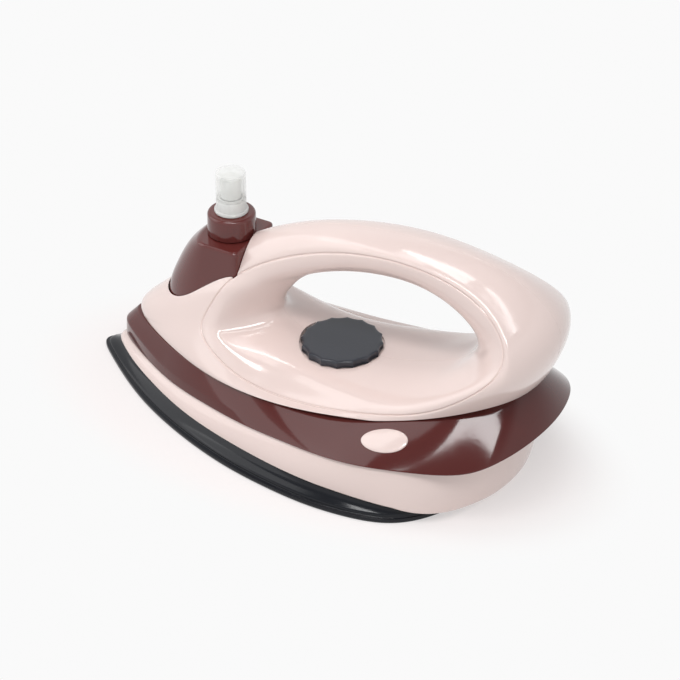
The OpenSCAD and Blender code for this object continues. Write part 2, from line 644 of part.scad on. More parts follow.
module dial_screw() color(steel) translate([dial_x, 0, dial_z - dial_stem_l - washer_t]) {
    cylinder(r = screw_r - 3 * fit, h = washer_t + dial_pilot_l - screw_r);
    translate([0, 0, -screw_head_t]) cylinder(r = screw_head_r, h = screw_head_t);
}

// Tank with its neck.
neck_x = -0.191 * body_l;
neck_wall = 1.9;
neck_z = tank_top_h + neck_l;
module water_tank() color(burgundy) difference() {
    union() {
        stack(tank_rows(0, tank_low_h, tank_top_h));
        translate([neck_x, 0, tank_top_h - tank_wall / 2])
            cylinder(r = neck_r, h = neck_l + tank_wall / 2);
    }
    stack(tank_rows(tank_wall, tank_low_h - over, tank_top_h - tank_wall));
    translate([neck_x, 0, tank_top_h - 2 * tank_wall])
        cylinder(r = neck_r - neck_wall, h = neck_l + 2 * tank_wall + over);
}
tank_base_t = 2;
module tank_base() color(burgundy) {
    row = tank_outline(0, tank_nose_x + tank_wall + fit, nose_low_l, tank_w / 2 - tank_wall - fit,
        tank_back_x - tank_wall - fit, tank_corner);
    translate([0, 0, tank_low_h]) linear_extrude(tank_base_t)
        polygon(concat([for (p = row) [p.x, -p.y]],
            [for (i = [len(row) - 2:-1:1]) [row[i].x, row[i].y]]));
}

// Sprayer, all of it on the axis of the neck.
module on_neck() translate([neck_x, 0, 0]) children();
gasket_t = 0.8;
flange_t = 0.8;
flange_r = neck_r - gap;
flange_z = neck_z + fit + gasket_t;
cap_wall = 0.7;
turret_r = cap_r - cap_wall - fit;
collar_top_z = tank_top_h + gap + collar_h;
collar_roof_z = flange_z + flange_t + fit;
collar_edge = 1.4;
turret_h = 7;
turret_z = collar_top_z + turret_h;
cup_r = button_r + gap;
cup_z = turret_z - button_travel - 2 * gap;
chamber_r = 3;
chamber_wall = 0.9;
stem_r = 1.5;
chamber_l = 28;
chamber_z = turret_z - chamber_l;
spigot_l = 5;
piston_l = 4;
button_z = turret_z + gap;
stem_socket = 3;
ball_r = 1.4;

module pump_collar() color(burgundy) on_neck() difference() {
    rotate_extrude() polygon([[0, tank_top_h + gap], [collar_r, tank_top_h + gap],
        [collar_r - gap / 2, collar_top_z - collar_edge],
        [collar_r - collar_edge * 0.4, collar_top_z - collar_edge * 0.36],
        [collar_r - collar_edge, collar_top_z], [0, collar_top_z]]);
    translate([0, 0, tank_top_h + gap - over])
        cylinder(r = neck_r + gap, h = collar_roof_z - tank_top_h - gap + over);
    translate([0, 0, tank_top_h]) cylinder(r = turret_r + gap, h = 2 * collar_h);
}
module pump_gasket() color(clear) on_neck() translate([0, 0, neck_z + fit]) difference() {
    cylinder(r = flange_r, h = gasket_t);
    translate([0, 0, -over]) cylinder(r = chamber_r + chamber_wall + fit, h = gasket_t + 2 * over);
}
module pump_housing() color(clear) on_neck() difference() {
    union() {
        translate([0, 0, chamber_z])
            cylinder(r = chamber_r + chamber_wall, h = flange_z - chamber_z);
        translate([0, 0, flange_z]) cylinder(r = flange_r, h = flange_t);
        translate([0, 0, flange_z]) cylinder(r = turret_r, h = turret_z - flange_z);
        translate([0, 0, chamber_z - spigot_l])
            cylinder(r = dip_r + fit + chamber_wall, h = spigot_l);
    }
    translate([0, 0, chamber_z + chamber_wall])
        cylinder(r = chamber_r, h = cup_z - chamber_z - 2 * chamber_wall);
    translate([0, 0, chamber_z - over]) cylinder(r = ball_r * 0.7, h = reach);
    translate([0, 0, chamber_z]) cylinder(r = stem_r + fit, h = reach);
    translate([0, 0, cup_z]) cylinder(r = cup_r, h = reach);
    translate([0, 0, chamber_z - spigot_l - over])
        cylinder(r = dip_r + fit, h = spigot_l + over - chamber_wall);
}
piston_top_z = cup_z - chamber_wall - gap;
module pump_piston() color(clear) on_neck() difference() {
    union() {
        translate([0, 0, piston_top_z - piston_l]) cylinder(r = chamber_r - fit, h = piston_l);
        translate([0, 0, piston_top_z])
            cylinder(r = stem_r, h = button_z + stem_socket - piston_top_z);
    }
    translate([0, 0, piston_top_z - piston_l - over])
        cylinder(r = stem_r / 2, h = reach);
}
// Spring between the floor of the chamber and the piston.
spring_wire = 0.5;
spring_r = chamber_r - spring_wire / 2 - gap;
spring_low = chamber_z + chamber_wall + 2 * ball_r + gap;
spring_high = piston_top_z - piston_l;
spring_turns = 7;
spring_ring = 12;
spring_sides = 6;
module spring_coil() {
    n = spring_turns * spring_ring;
    rise = spring_high - spring_low - spring_wire;
    points = [for (k = [0:n], s = [0:spring_sides - 1])
        let (a = 360 * k / spring_ring, b = 360 * s / spring_sides,
            r = spring_r + spring_wire / 2 * cos(b))
        [r * cos(a), r * sin(a),
            spring_low + spring_wire / 2 + rise * k / n + spring_wire / 2 * sin(b)]];
    function at(k, s) = k * spring_sides + s % spring_sides;
    sides = [for (k = [0:n - 1], s = [0:spring_sides - 1]) each [
        [at(k, s), at(k, s + 1), at(k + 1, s + 1)], [at(k, s), at(k + 1, s + 1), at(k + 1, s)]]];
    ends = [[for (s = [spring_sides - 1:-1:0]) at(0, s)], [for (s = [0:spring_sides - 1]) at(n, s)]];
    polyhedron(points = points, faces = concat(sides, ends), convexity = 10);
}
module pump_spring() color(steel) on_neck() spring_coil();
module check_ball() color(steel) on_neck()
    translate([0, 0, chamber_z + chamber_wall + ball_r + fit]) sphere(r = ball_r);
module dip_tube() color(clear) on_neck() difference() {
    translate([0, 0, tank_low_h + tank_base_t + 2 * dip_r])
        cylinder(r = dip_r, h = chamber_z - chamber_wall - tank_low_h - tank_base_t - 2 * dip_r);
    translate([0, 0, tank_low_h]) cylinder(r = dip_r / 2, h = chamber_z);
}
button_edge = 0.8;
nozzle_r = 1.7;
nozzle_l = 1.6;
nozzle_z = button_z + 0.62 * button_h;
module spray_button() color(clear) on_neck() difference() {
    rotate_extrude() polygon([[0, button_z], [button_r, button_z],
        [button_r, button_z + button_h - button_edge],
        [button_r - button_edge, button_z + button_h],
        [button_r / 2, button_z + button_h - button_edge / 2],
        [0, button_z + button_h - button_edge * 0.6]]);
    translate([0, 0, button_z - over]) cylinder(r = stem_r + fit, h = stem_socket + over);
    translate([-button_r - over, 0, nozzle_z]) rotate([0, 90, 0])
        cylinder(r = nozzle_r + fit, h = nozzle_l + over);
    translate([0, 0, button_z]) cylinder(r = stem_r / 2, h = nozzle_z - button_z);
    translate([-button_r, 0, nozzle_z]) rotate([0, 90, 0]) cylinder(r = stem_r / 2, h = button_r);
}
module nozzle_insert() color(clear) on_neck() translate([-button_r, 0, nozzle_z])
    rotate([0, 90, 0]) difference() {
        cylinder(r = nozzle_r, h = nozzle_l);
        translate([0, 0, -over]) cylinder(r = nozzle_r / 6, h = nozzle_l + 2 * over);
    }
cap_z = collar_top_z + gap;
cap_foot_r = cap_r + cap_wall * 1.2;
cap_foot_h = 1.3;
module spray_cap() color(clear) on_neck() translate([0, 0, cap_z]) difference() {
    rotate_extrude() polygon([[0, 0], [cap_foot_r, 0], [cap_foot_r, cap_foot_h],
        [cap_r, cap_foot_h + cap_wall / 2], [cap_r, cap_h - cap_wall], [cap_r - cap_wall, cap_h],
        [0, cap_h]]);
    translate([0, 0, -over]) cylinder(r = cap_r - cap_wall, h = cap_h - cap_wall + over);
}

upper_shell_left();
upper_shell_right();
band_left();
band_right();
insert_left();
insert_right();
lower_shell();
soleplate();
shell_screws();
base_screws();
sole_screws();
dial_knob();
dial_washer();
dial_screw();
water_tank();
tank_base();
pump_collar();
pump_gasket();
pump_housing();
pump_piston();
pump_spring();
check_ball();
dip_tube();
spray_button();
nozzle_insert();
spray_cap();
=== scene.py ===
"""Toy iron with a mist sprayer in its nose: surfaces, finishes, light and camera.

Every surface is a grid of points worked out with numpy, in metres. The toe points along -X, the
heel along +X, the camera stands on the -Y side and the floor is z = 0.
"""
import math

import bpy
import numpy as np
from bpy.props import FloatProperty, FloatVectorProperty, IntProperty, PointerProperty
from bpy.types import Operator, Panel, PropertyGroup
from mathutils import Matrix, Vector


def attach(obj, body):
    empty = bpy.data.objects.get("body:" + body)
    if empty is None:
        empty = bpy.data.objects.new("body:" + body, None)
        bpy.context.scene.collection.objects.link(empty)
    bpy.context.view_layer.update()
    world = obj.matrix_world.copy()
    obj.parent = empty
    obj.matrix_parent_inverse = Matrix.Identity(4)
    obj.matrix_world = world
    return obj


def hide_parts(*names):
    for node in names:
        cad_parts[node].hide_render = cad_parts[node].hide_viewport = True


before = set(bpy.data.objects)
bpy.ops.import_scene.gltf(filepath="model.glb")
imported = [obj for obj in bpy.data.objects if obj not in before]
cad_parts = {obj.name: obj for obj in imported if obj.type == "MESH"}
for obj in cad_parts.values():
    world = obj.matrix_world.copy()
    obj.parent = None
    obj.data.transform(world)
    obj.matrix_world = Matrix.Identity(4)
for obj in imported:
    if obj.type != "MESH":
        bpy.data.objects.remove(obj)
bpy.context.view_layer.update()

bl_info = {
    "name": "Toy iron",
    "version": (1, 0, 0),
    "blender": (4, 5, 0),
    "location": "View3D > Sidebar > Toy iron",
    "description": "Moulded shells, sprayer, dial and studio of a toy iron",
    "category": "Object",
}

MM = 0.001
WELD = 2e-7  # points of a surface that are nearer than this become one

# Places of the rails of the upper shell as shares of [length, shell width, handle height]. Each
# rail runs once round the handle hole: toe, front, top of the handle, heel, and back on the deck.
RAIL_SHARES = {
    "outer": [
        (-0.414, 0, 0.263), (-0.353, 0, 0.417), (-0.256, 0, 0.617), (-0.146, 0, 0.784),
        (-0.025, 0, 0.909), (0.107, 0, 0.975), (0.240, 0, 0.995), (0.374, 0, 0.972),
        (0.461, 0, 0.882), (0.509, 0, 0.755), (0.488, 0, 0.591), (0.441, 0, 0.438),
        (0.329, 0, 0.343), (0.204, 0, 0.276), (0.053, 0, 0.238), (-0.116, 0, 0.210),
        (-0.284, 0, 0.181)],
    "shoulder": [
        (-0.336, 0.183, 0.313), (-0.284, 0.195, 0.429), (-0.209, 0.156, 0.594),
        (-0.137, 0.104, 0.747), (-0.027, 0.096, 0.881), (0.108, 0.119, 0.952),
        (0.236, 0.127, 0.965), (0.352, 0.148, 0.923), (0.422, 0.221, 0.842),
        (0.459, 0.305, 0.737), (0.460, 0.317, 0.617), (0.428, 0.262, 0.485),
        (0.336, 0.328, 0.336), (0.205, 0.426, 0.330), (0.046, 0.468, 0.286),
        (-0.127, 0.443, 0.267), (-0.276, 0.293, 0.257)],
    "groove": [
        (-0.191, 0.293, 0.435), (-0.176, 0.250, 0.539), (-0.156, 0.222, 0.631),
        (-0.114, 0.155, 0.705), (-0.013, 0.141, 0.827), (0.108, 0.151, 0.917),
        (0.222, 0.160, 0.945), (0.326, 0.174, 0.918), (0.403, 0.219, 0.848),
        (0.440, 0.281, 0.760), (0.433, 0.339, 0.662), (0.373, 0.380, 0.532),
        (0.283, 0.395, 0.408), (0.156, 0.420, 0.335), (0.029, 0.407, 0.290),
        (-0.083, 0.407, 0.315), (-0.160, 0.348, 0.381)],
    "rim": [
        (-0.159, 0.268, 0.438), (-0.146, 0.238, 0.533), (-0.119, 0.207, 0.622),
        (-0.082, 0.153, 0.672), (-0.001, 0.135, 0.760), (0.102, 0.139, 0.845),
        (0.209, 0.146, 0.873), (0.296, 0.162, 0.847), (0.360, 0.189, 0.779),
        (0.393, 0.221, 0.698), (0.377, 0.273, 0.593), (0.339, 0.319, 0.523),
        (0.265, 0.339, 0.427), (0.179, 0.359, 0.382), (0.047, 0.337, 0.348),
        (-0.054, 0.324, 0.364), (-0.131, 0.299, 0.405)],
    "dish": [
        (-0.112, 0.146, 0.457), (-0.103, 0.134, 0.543), (-0.084, 0.122, 0.613),
        (-0.053, 0.085, 0.657), (0.012, 0.074, 0.732), (0.102, 0.074, 0.797),
        (0.204, 0.079, 0.824), (0.279, 0.093, 0.800), (0.338, 0.100, 0.727),
        (0.358, 0.116, 0.636), (0.334, 0.155, 0.554), (0.297, 0.187, 0.492),
        (0.236, 0.201, 0.429), (0.164, 0.213, 0.393), (0.044, 0.213, 0.374),
        (-0.031, 0.201, 0.391), (-0.087, 0.177, 0.414)],
    "hole": [
        (-0.076, 0, 0.486), (-0.069, 0, 0.542), (-0.051, 0, 0.598), (-0.028, 0, 0.657),
        (0.022, 0, 0.725), (0.102, 0, 0.788), (0.204, 0, 0.814), (0.271, 0, 0.793),
        (0.329, 0, 0.723), (0.346, 0, 0.635), (0.326, 0, 0.548), (0.290, 0, 0.486),
        (0.222, 0, 0.429), (0.151, 0, 0.390), (0.044, 0, 0.374), (-0.027, 0, 0.400),
        (-0.065, 0, 0.438)],
}

# Outlines of the lower body, toe to heel along one side, as shares of [length, width].
OUTLINE_SHARES = {
    "band_low": [
        (-0.448, 0), (-0.414, 0.074), (-0.355, 0.158), (-0.262, 0.268), (-0.164, 0.346),
        (-0.058, 0.415), (0.044, 0.455), (0.140, 0.486), (0.222, 0.498), (0.296, 0.472),
        (0.366, 0.439), (0.414, 0.394), (0.449, 0.330), (0.479, 0.227), (0.495, 0.103),
        (0.499, 0)],
    "band_top": [
        (-0.415, 0), (-0.386, 0.069), (-0.328, 0.152), (-0.240, 0.250), (-0.151, 0.310),
        (-0.055, 0.343), (0.035, 0.341), (0.117, 0.330), (0.202, 0.320), (0.273, 0.301),
        (0.333, 0.260), (0.375, 0.219), (0.408, 0.166), (0.431, 0.110), (0.445, 0.048),
        (0.449, 0)],
    "tray_low": [
        (-0.462, 0), (-0.431, 0.067), (-0.373, 0.150), (-0.280, 0.250), (-0.182, 0.333),
        (-0.067, 0.395), (0.036, 0.434), (0.129, 0.452), (0.218, 0.448), (0.284, 0.435),
        (0.333, 0.405), (0.373, 0.333), (0.400, 0.240), (0.418, 0.150), (0.427, 0.065),
        (0.429, 0)],
    "tray_top": [
        (-0.445, 0), (-0.411, 0.061), (-0.353, 0.133), (-0.260, 0.233), (-0.162, 0.305),
        (-0.056, 0.366), (0.044, 0.402), (0.136, 0.429), (0.222, 0.438), (0.289, 0.416),
        (0.345, 0.378), (0.388, 0.318), (0.420, 0.230), (0.432, 0.138), (0.436, 0.060),
        (0.436, 0)],
    "sole_lip": [
        (-0.500, 0), (-0.467, 0.067), (-0.400, 0.164), (-0.316, 0.267), (-0.209, 0.363),
        (-0.084, 0.444), (0.027, 0.483), (0.124, 0.500), (0.213, 0.487), (0.276, 0.454),
        (0.320, 0.392), (0.351, 0.308), (0.369, 0.225), (0.382, 0.140), (0.389, 0.060),
        (0.391, 0)],
    "sole_top": [
        (-0.460, 0), (-0.429, 0.063), (-0.372, 0.145), (-0.279, 0.244), (-0.181, 0.327),
        (-0.067, 0.388), (0.036, 0.427), (0.129, 0.443), (0.213, 0.438), (0.271, 0.417),
        (0.311, 0.375), (0.342, 0.300), (0.360, 0.220), (0.372, 0.137), (0.378, 0.060),
        (0.379, 0)],
}

# Lines on which the mouldings meet, seen from the side: [share of the length, share of the rise].
SEAM_SHARES = [
    (-0.500, -0.100), (-0.300, 0), (-0.130, 0.020), (-0.003, 0.039), (0.103, 0.093),
    (0.206, 0.270), (0.282, 0.447), (0.352, 0.681), (0.408, 0.870), (0.453, 1.000),
    (0.520, 1.100)]
BAND_SHARES = [
    (-0.500, -0.020), (-0.448, 0), (-0.355, 0.070), (-0.262, 0.110), (-0.164, 0.180),
    (-0.058, 0.250), (0.044, 0.320), (0.138, 0.390), (0.227, 0.494), (0.307, 0.552),
    (0.387, 0.623), (0.440, 0.701), (0.500, 0.914), (0.530, 0.944)]
FLOOR_SHARES = [
    (-0.520, 1.000), (0.200, 1.000), (0.270, 0.970), (0.330, 0.820), (0.380, 0.560),
    (0.420, 0.360), (0.460, 0.320), (0.520, 0.320)]

# Side of the soleplate: [share of its height, share of the way from the lip to the top outline].
SOLE_SIDE_SHARES = [
    (0, 0.12), (0.03, 0.05), (0.08, 0.01), (0.16, 0), (0.24, 0.005), (0.285, 0.03),
    (0.30, 0.10), (0.305, 0.19), (0.33, 0.235), (0.38, 0.245), (0.43, 0.25), (0.47, 0.28),
    (0.52, 0.38), (0.60, 0.53), (0.70, 0.69), (0.80, 0.80), (0.92, 0.91), (1.02, 0.97)]
# Lean of the nose of the tank: [share of the height above the step, share of the lean].
NOSE_LEAN_SHARES = [
    (0, 0), (0.17, 0.04), (0.31, 0.12), (0.47, 0.26), (0.66, 0.45), (0.79, 0.61),
    (0.895, 0.77), (1, 1)]
# Screws of the handle, as shares of [length, handle height], and of the sole, of the length.
SHELL_SCREW_SHARES = [(-0.106, 0.62), (0.107, 0.893), (0.360, 0.875), (0.410, 0.60)]
SOLE_SCREW_SHARES = [-0.30, 0.02, 0.24]
RECESS_RADIUS = 0.00295  # of the holes round the heads of these screws

# Numbers of the rails, counted inwards from the outer one, and points along them
GROOVE_RAIL, HOLE_RAIL = 2, 5
STATIONS, STATION_STEPS = 17, 16
# Points on each span of an outline
SPAN_STEPS = 12
# Oval insert: its place as shares of the skirt's run and height, and its half axes
INSERT_RUN, INSERT_RISE = 17 / 30, 0.595
INSERT_AXES = (0.0103, 0.0055)

# Lamps: name, place, width, height, glow and the bearing of the width in degrees
LAMPS = [
    ("front_strip", (0.20, -0.505, 1.05), 0.98, 0.16, 14.0, 0),
    ("top_strip", (-0.204, 0.08, 1.05), 0.53, 0.05, 6.5, -42),
    ("heel_strip", (0.40, -0.14, 1.05), 0.66, 0.045, 6.5, -3),
    ("dish_spot", (-0.083, -0.015, 0.42), 0.07, 0.15, 2.2, 0),
    ("left_high", (-0.76, -0.19, 0.99), 0.55, 0.50, 1.8, 0),
    ("left_wall", (-1.0, -0.45, 0.50), 1.0, 0.8, 1.0, -66)]
LAMP_TARGET = (0.02, 0, 0.05)
# Background: glow for other light than the camera's, its colour, and the heights, as the sine
# of the angle above level, between which the pale walls end
SKY_GLOW, SKY_COLOUR, WALL_TOP = 0.35, (0.97, 0.98, 1, 1), (0.60, 0.80)
# Floor: half its side, how far it lies below z = 0, half axes of the oval round the object that
# takes real light, the shares of them between which that fades, its share and its colour, whose
# pink tint is painted light: the glow that the pink tray throws onto the floor
FLOOR_HALF, FLOOR_DROP = 3, 0.00005
SHADOW_AXES, SHADOW_FADE, SHADOW_SHARE = (0.115, 0.065), (0.92, 1.30), 0.5
PAINTED_BOUNCE_COLOUR = (0.97, 0.885, 0.87, 1)
# Camera: degrees round from the -Y side towards the heel, degrees up, distance to its target,
# the width of its sensor in mm, and its focal length and the photo's width in pixels
CAMERA_TURN, CAMERA_TILT, CAMERA_DISTANCE = 30, 34, 1.066
CAMERA_TARGET = (0.0102, 0, 0.0419)
SENSOR, FOCAL_PIXELS, PHOTO_PIXELS = 36, 2500, 680


def size(name, text, default):
    """A length in metres that a user may change."""
    return FloatProperty(name=name, description=text, default=default, unit="LENGTH",
                         precision=5)


def colour(name, text, default):
    """A linear colour that a user may change."""
    return FloatVectorProperty(name=name, description=text, default=default, subtype="COLOR",
                               size=3, min=0, max=1)


class ToyIronSizes(PropertyGroup):
    """Sizes of the mouldings and of their edges."""
    length: size("Length", "Tip of the sole to the heel of the band", 0.225)
    sole_width: size("Sole width", "Width of the soleplate", 0.120)
    band_width: size("Band width", "Width of the skirt", 0.1086)
    shell_width: size("Shell width", "Width of the upper shell at the deck", 0.082)
    handle_height: size("Handle height", "Top of the handle above the floor", 0.105)
    sole_height: size("Sole height", "Height of the soleplate", 0.0075)
    band_toe: size("Band at the toe", "Lower edge of the skirt at the toe", 0.011)
    band_heel: size("Band at the heel", "Lower edge of the skirt at the heel", 0.039)
    seam_toe: size("Seam at the toe", "Seam under the upper shell at the toe", 0.028)
    seam_heel: size("Seam at the heel", "Seam under the upper shell at the heel", 0.0535)
    wall: size("Wall", "Wall of the shells", 0.0024)
    band_wall: size("Band wall", "Wall of the skirt, level", 0.004)
    gap: size("Gap", "Gap between pieces that slide", 0.0003)
    bulge: size("Bulge", "Bulge of skirt and tray", 0.00084)
    toe_bulge: FloatProperty(name="Toe bulge", default=2.6,
                             description="How many times more the skirt bulges at the toe")
    groove_width: size("Groove width", "Half width of the engraved line", 0.00040)
    groove_depth: size("Groove depth", "Depth of the engraved line", 0.00056)
    parting_depth: size("Parting depth", "Depth of the line between the halves", 0.00010)
    edge_round: size("Edge rounding", "Rounding of the moulded edges", 0.00045)


class ToyIronDial(PropertyGroup):
    """Sizes of the dial."""
    centre: size("Centre", "Place along the body", 0.01125)
    floor: size("Floor", "Height of the flat spot under the dial", 0.03906)
    radius: size("Radius", "Outer radius", 0.0178)
    thickness: size("Thickness", "Thickness at the rim", 0.0034)
    scallop: size("Scallop", "Depth of a scallop", 0.00085)
    stem_radius: size("Stem radius", "Radius of the stem", 0.003)
    stem_length: size("Stem length", "Length of the stem", 0.0078)
    scallops: IntProperty(name="Scallops", description="Scallops round the rim", default=16)


class ToyIronTank(PropertyGroup):
    """Sizes of the tank and its sprayer."""
    length: size("Length", "Nose to back", 0.0427)
    width: size("Width", "Width", 0.0312)
    lean: size("Lean", "How far the nose leans back", 0.019)
    top: size("Top", "Height of the top plate", 0.080)
    low: size("Bottom", "Height of the bottom", 0.031)
    back: size("Back", "Place of the back along the body", -0.03132)
    edge: size("Edge", "Rounding of the top plate", 0.0011)
    axis: size("Axis", "Place of the neck along the body", -0.042975)
    neck_radius: size("Neck radius", "Radius of the neck", 0.0086)
    neck_length: size("Neck length", "Length of the neck", 0.0066)
    collar_radius: size("Collar radius", "Radius of the screw collar", 0.0105)
    collar_height: size("Collar height", "Height of the screw collar", 0.010)
    turret_radius: size("Turret radius", "Radius of the pump's turret", 0.0057)
    cap_radius: size("Cap radius", "Radius of the clear cap", 0.00645)
    cap_height: size("Cap height", "Height of the clear cap", 0.0188)
    cap_wall: size("Cap wall", "Wall of the clear cap", 0.0007)
    button_radius: size("Button radius", "Radius of the spray button", 0.0045)
    button_height: size("Button height", "Height of the spray button", 0.0094)


class ToyIronColours(PropertyGroup):
    """Colours of the mouldings."""
    pink: colour("Pink", "Upper shell, tray and inserts", (0.80, 0.655, 0.615))
    burgundy: colour("Burgundy", "Skirt, tank and collar", (0.090, 0.016, 0.014))
    black: colour("Black", "Soleplate and dial", (0.016, 0.018, 0.024))
    natural: colour("Natural", "Sprayer inside the cap", (0.95, 0.96, 0.93))
    steel: colour("Steel", "Screws and spring", (0.56, 0.56, 0.57))
    floor: colour("Floor", "Floor and background", (0.955, 0.955, 0.955))


# Curves and surfaces

def sharpened(places, before, after):
    """Control places of a uniform cubic spline that runs close to the given places:
    eight times the place less both neighbours, over six."""
    return (8 * places - before - after) / 6


def weights(t):
    """The four weights of a uniform cubic spline at the share t of a span."""
    return np.array([(1 - t) ** 3, 3 * t ** 3 - 6 * t ** 2 + 4,
                     -3 * t ** 3 + 3 * t ** 2 + 3 * t + 1, t ** 3]) / 6


def along(controls, t):
    """Points of the spline at t spans from its start: the weighted sum of four controls."""
    i = np.clip(np.floor(t).astype(int), 0, len(controls) - 4)
    w = weights(t - i)
    return sum(w[k][:, None] * controls[i + k] for k in range(4))


def open_line(shares, scale, steps=10):
    """A spline through the places whose ends run straight on, as a table of [x, z]."""
    p = np.array(shares, float) * scale
    p = np.vstack([2 * p[0] - p[1], p, 2 * p[-1] - p[-2]])
    c = np.vstack([p[0], sharpened(p[1:-1], p[:-2], p[2:]), p[-1]])
    return along(c, np.linspace(0, len(shares) - 1, (len(shares) - 1) * steps + 1))


class Body:
    """The meeting lines and outlines of the body, worked out once from the sizes."""

    def __init__(self, s):
        self.length = s.length
        rise = [s.length, s.seam_heel - s.seam_toe]
        self.seam = open_line(SEAM_SHARES, rise) + [0, s.seam_toe]
        rise = [s.length, s.band_heel - s.band_toe]
        self.band = open_line(BAND_SHARES, rise) + [0, s.band_toe]
        self.floor = open_line(FLOOR_SHARES, [s.length, s.sole_height], 1)

    def outline(self, name, width, line):
        """Half outline: a spline through the places, mirrored at the centre plane beyond its
        ends; its height is that of the meeting line at the same x."""
        p = np.array(OUTLINE_SHARES[name], float) * [self.length, width]
        flip = np.array([1, -1])
        before = np.vstack([p[1] * flip, p[:-1]])
        after = np.vstack([p[1:], p[-2] * flip])
        c = sharpened(p, before, after)
        c = np.vstack([c[1] * flip, c, c[-2] * flip])
        xy = along(c, np.linspace(0, len(p) - 1, (len(p) - 1) * SPAN_STEPS + 1))
        xy[[0, -1], 1] = 0
        z = np.interp(xy[:, 0], line[:, 0], line[:, 1])
        return np.column_stack([xy, z])


def inset(row, distance):
    """The outline moved level and inwards, square to its own run, by a distance or by one
    distance for each of its points."""
    run = np.gradient(row[:, :2], axis=0)
    run[0], run[-1] = (0, 1), (0, -1)
    run /= np.linalg.norm(run, axis=1)[:, None]
    d = np.broadcast_to(distance, len(row))
    moved = row.copy()
    moved[:, 0] += run[:, 1] * d
    moved[1:-1, 1] -= (run[:, 0] * d)[1:-1]
    return moved


def mix(a, b, share):
    """The row that lies the given share of the way from row a to row b."""
    return a + (b - a) * share


def rounded(radius, steps):
    """Quarter round as pairs: distance in from the first face, distance down the second."""
    a = np.linspace(0, math.pi / 2, steps)
    return [(radius * (1 - math.sin(x)), radius * (1 - math.cos(x))) for x in a]


# Meshes

def grid_quads(rows, columns, close_rows=False, close_columns=False):
    """Corner numbers of the quads of a grid of points, wrapped round where it is closed."""
    r = np.arange(rows if close_rows else rows - 1)[:, None]
    c = np.arange(columns if close_columns else columns - 1)[None, :]
    r2, c2 = (r + 1) % rows, (c + 1) % columns
    return np.stack([r * columns + c, r * columns + c2, r2 * columns + c2, r2 * columns + c],
                    axis=-1).reshape(-1, 4)


def welded(points, quads):
    """Points that fall together become one, and quads that shrink to a triangle or a line
    become the triangle or nothing."""
    _, first, number = np.unique(np.round(points / WELD).astype(np.int64), axis=0,
                                 return_index=True, return_inverse=True)
    q = number.reshape(-1)[quads]
    same = q == np.roll(q, -1, axis=1)
    folded = (q[:, 0] == q[:, 2]) | (q[:, 1] == q[:, 3])
    whole = q[~same.any(axis=1) & ~folded]
    three = q[(same.sum(axis=1) == 1) & ~folded]
    at = same[(same.sum(axis=1) == 1) & ~folded].argmax(axis=1)
    turn = (at[:, None] + np.arange(1, 4)) % 4
    return points[first], whole, np.take_along_axis(three, turn, axis=1)


def solid(points, quads):
    """Welded points of a closed surface and its quads and triangles, turned so that its volume
    is positive."""
    points, whole, three = welded(points, quads)
    halves = [whole[:, [0, 1, 2]], whole[:, [0, 2, 3]], three]
    a, b, c = (np.concatenate([points[h[:, k]] for h in halves]) for k in range(3))
    if np.einsum("ij,ij->i", a, np.cross(b, c)).sum() < 0:
        whole, three = whole[:, ::-1], three[:, ::-1]
    return points, [whole, three]


def joined(*solids):
    """Several closed surfaces as one: their points in turn, and their faces with the corner
    numbers moved up by the points before."""
    faces, count = [], 0
    for points, parts in solids:
        faces += [part + count for part in parts]
        count += len(points)
    return np.vstack([points for points, _ in solids]), faces


def loop_along(rows):
    """Closed loop of half outlines, carried from toe to heel. The ends lie on the centre plane
    and are closed there by a fan to the middle of the loop."""
    grid = np.stack(rows)
    m, n = grid.shape[:2]
    quads = grid_quads(m, n, close_rows=True)
    points = grid.reshape(-1, 3)
    middles = np.stack([grid[:, 0].mean(axis=0), grid[:, -1].mean(axis=0)])
    ring = np.arange(m) * n
    after = (np.arange(m) + 1) % m * n
    toe = np.stack([ring, after, np.full(m, m * n), np.full(m, m * n)], axis=1)
    heel = np.stack([after + n - 1, ring + n - 1, np.full(m, m * n + 1),
                     np.full(m, m * n + 1)], axis=1)
    return solid(np.vstack([points, middles]), np.vstack([quads, toe, heel]))


def stacked(rows):
    """Closed body of half outlines, lowest first, mirrored across the centre plane; strips
    from side to side close it below and above."""
    flip = np.array([1, -1, 1])
    rings = np.stack([np.vstack([row * flip, row[-2:0:-1]]) for row in rows])
    m, n = rings.shape[:2]
    half = len(rows[0])
    sides = grid_quads(m, n, close_columns=True)
    k = np.arange(half - 1)
    lid = np.stack([k, k + 1, (n - k - 1) % n, (n - k) % n], axis=1)
    return solid(rings.reshape(-1, 3), np.vstack([sides, lid, lid[:, ::-1] + (m - 1) * n]))


def turned(profile, steps, centre, axis="Z"):
    """Closed profile of [radius, height] carried once round an axis through the centre: radius
    times the cosine and the sine of each step's angle."""
    p = np.array(profile, float)
    a = np.arange(steps) / steps * 2 * math.pi
    x = p[:, 0][:, None] * np.cos(a)
    y = p[:, 0][:, None] * np.sin(a)
    z = np.repeat(p[:, 1][:, None], steps, axis=1)
    turn = {"Z": (x, y, z), "Y": (y, z, x), "X": (z, x, y)}[axis]
    points = np.stack(turn, axis=-1).reshape(-1, 3) + centre
    return solid(points, grid_quads(len(p), steps, close_rows=True, close_columns=True))


def post(radius, low, high, centre, axis="Z", steps=48):
    """Plain round post for cuts."""
    return turned([(0, low), (radius, low), (radius, high), (0, high)], steps, centre, axis)


def upright(outline, low, high):
    """Block over a closed plan outline, for cuts: two rings of points and strips across."""
    n = len(outline)
    rings = np.vstack([np.column_stack([outline, np.full(n, z)]) for z in (low, high)])
    sides = grid_quads(2, n, close_columns=True)
    k = np.arange(n // 2)
    lid = np.stack([k, k + 1, (n - k - 2) % n, n - k - 1], axis=1)
    return solid(rings, np.vstack([sides, lid, lid[:, ::-1] + n]))


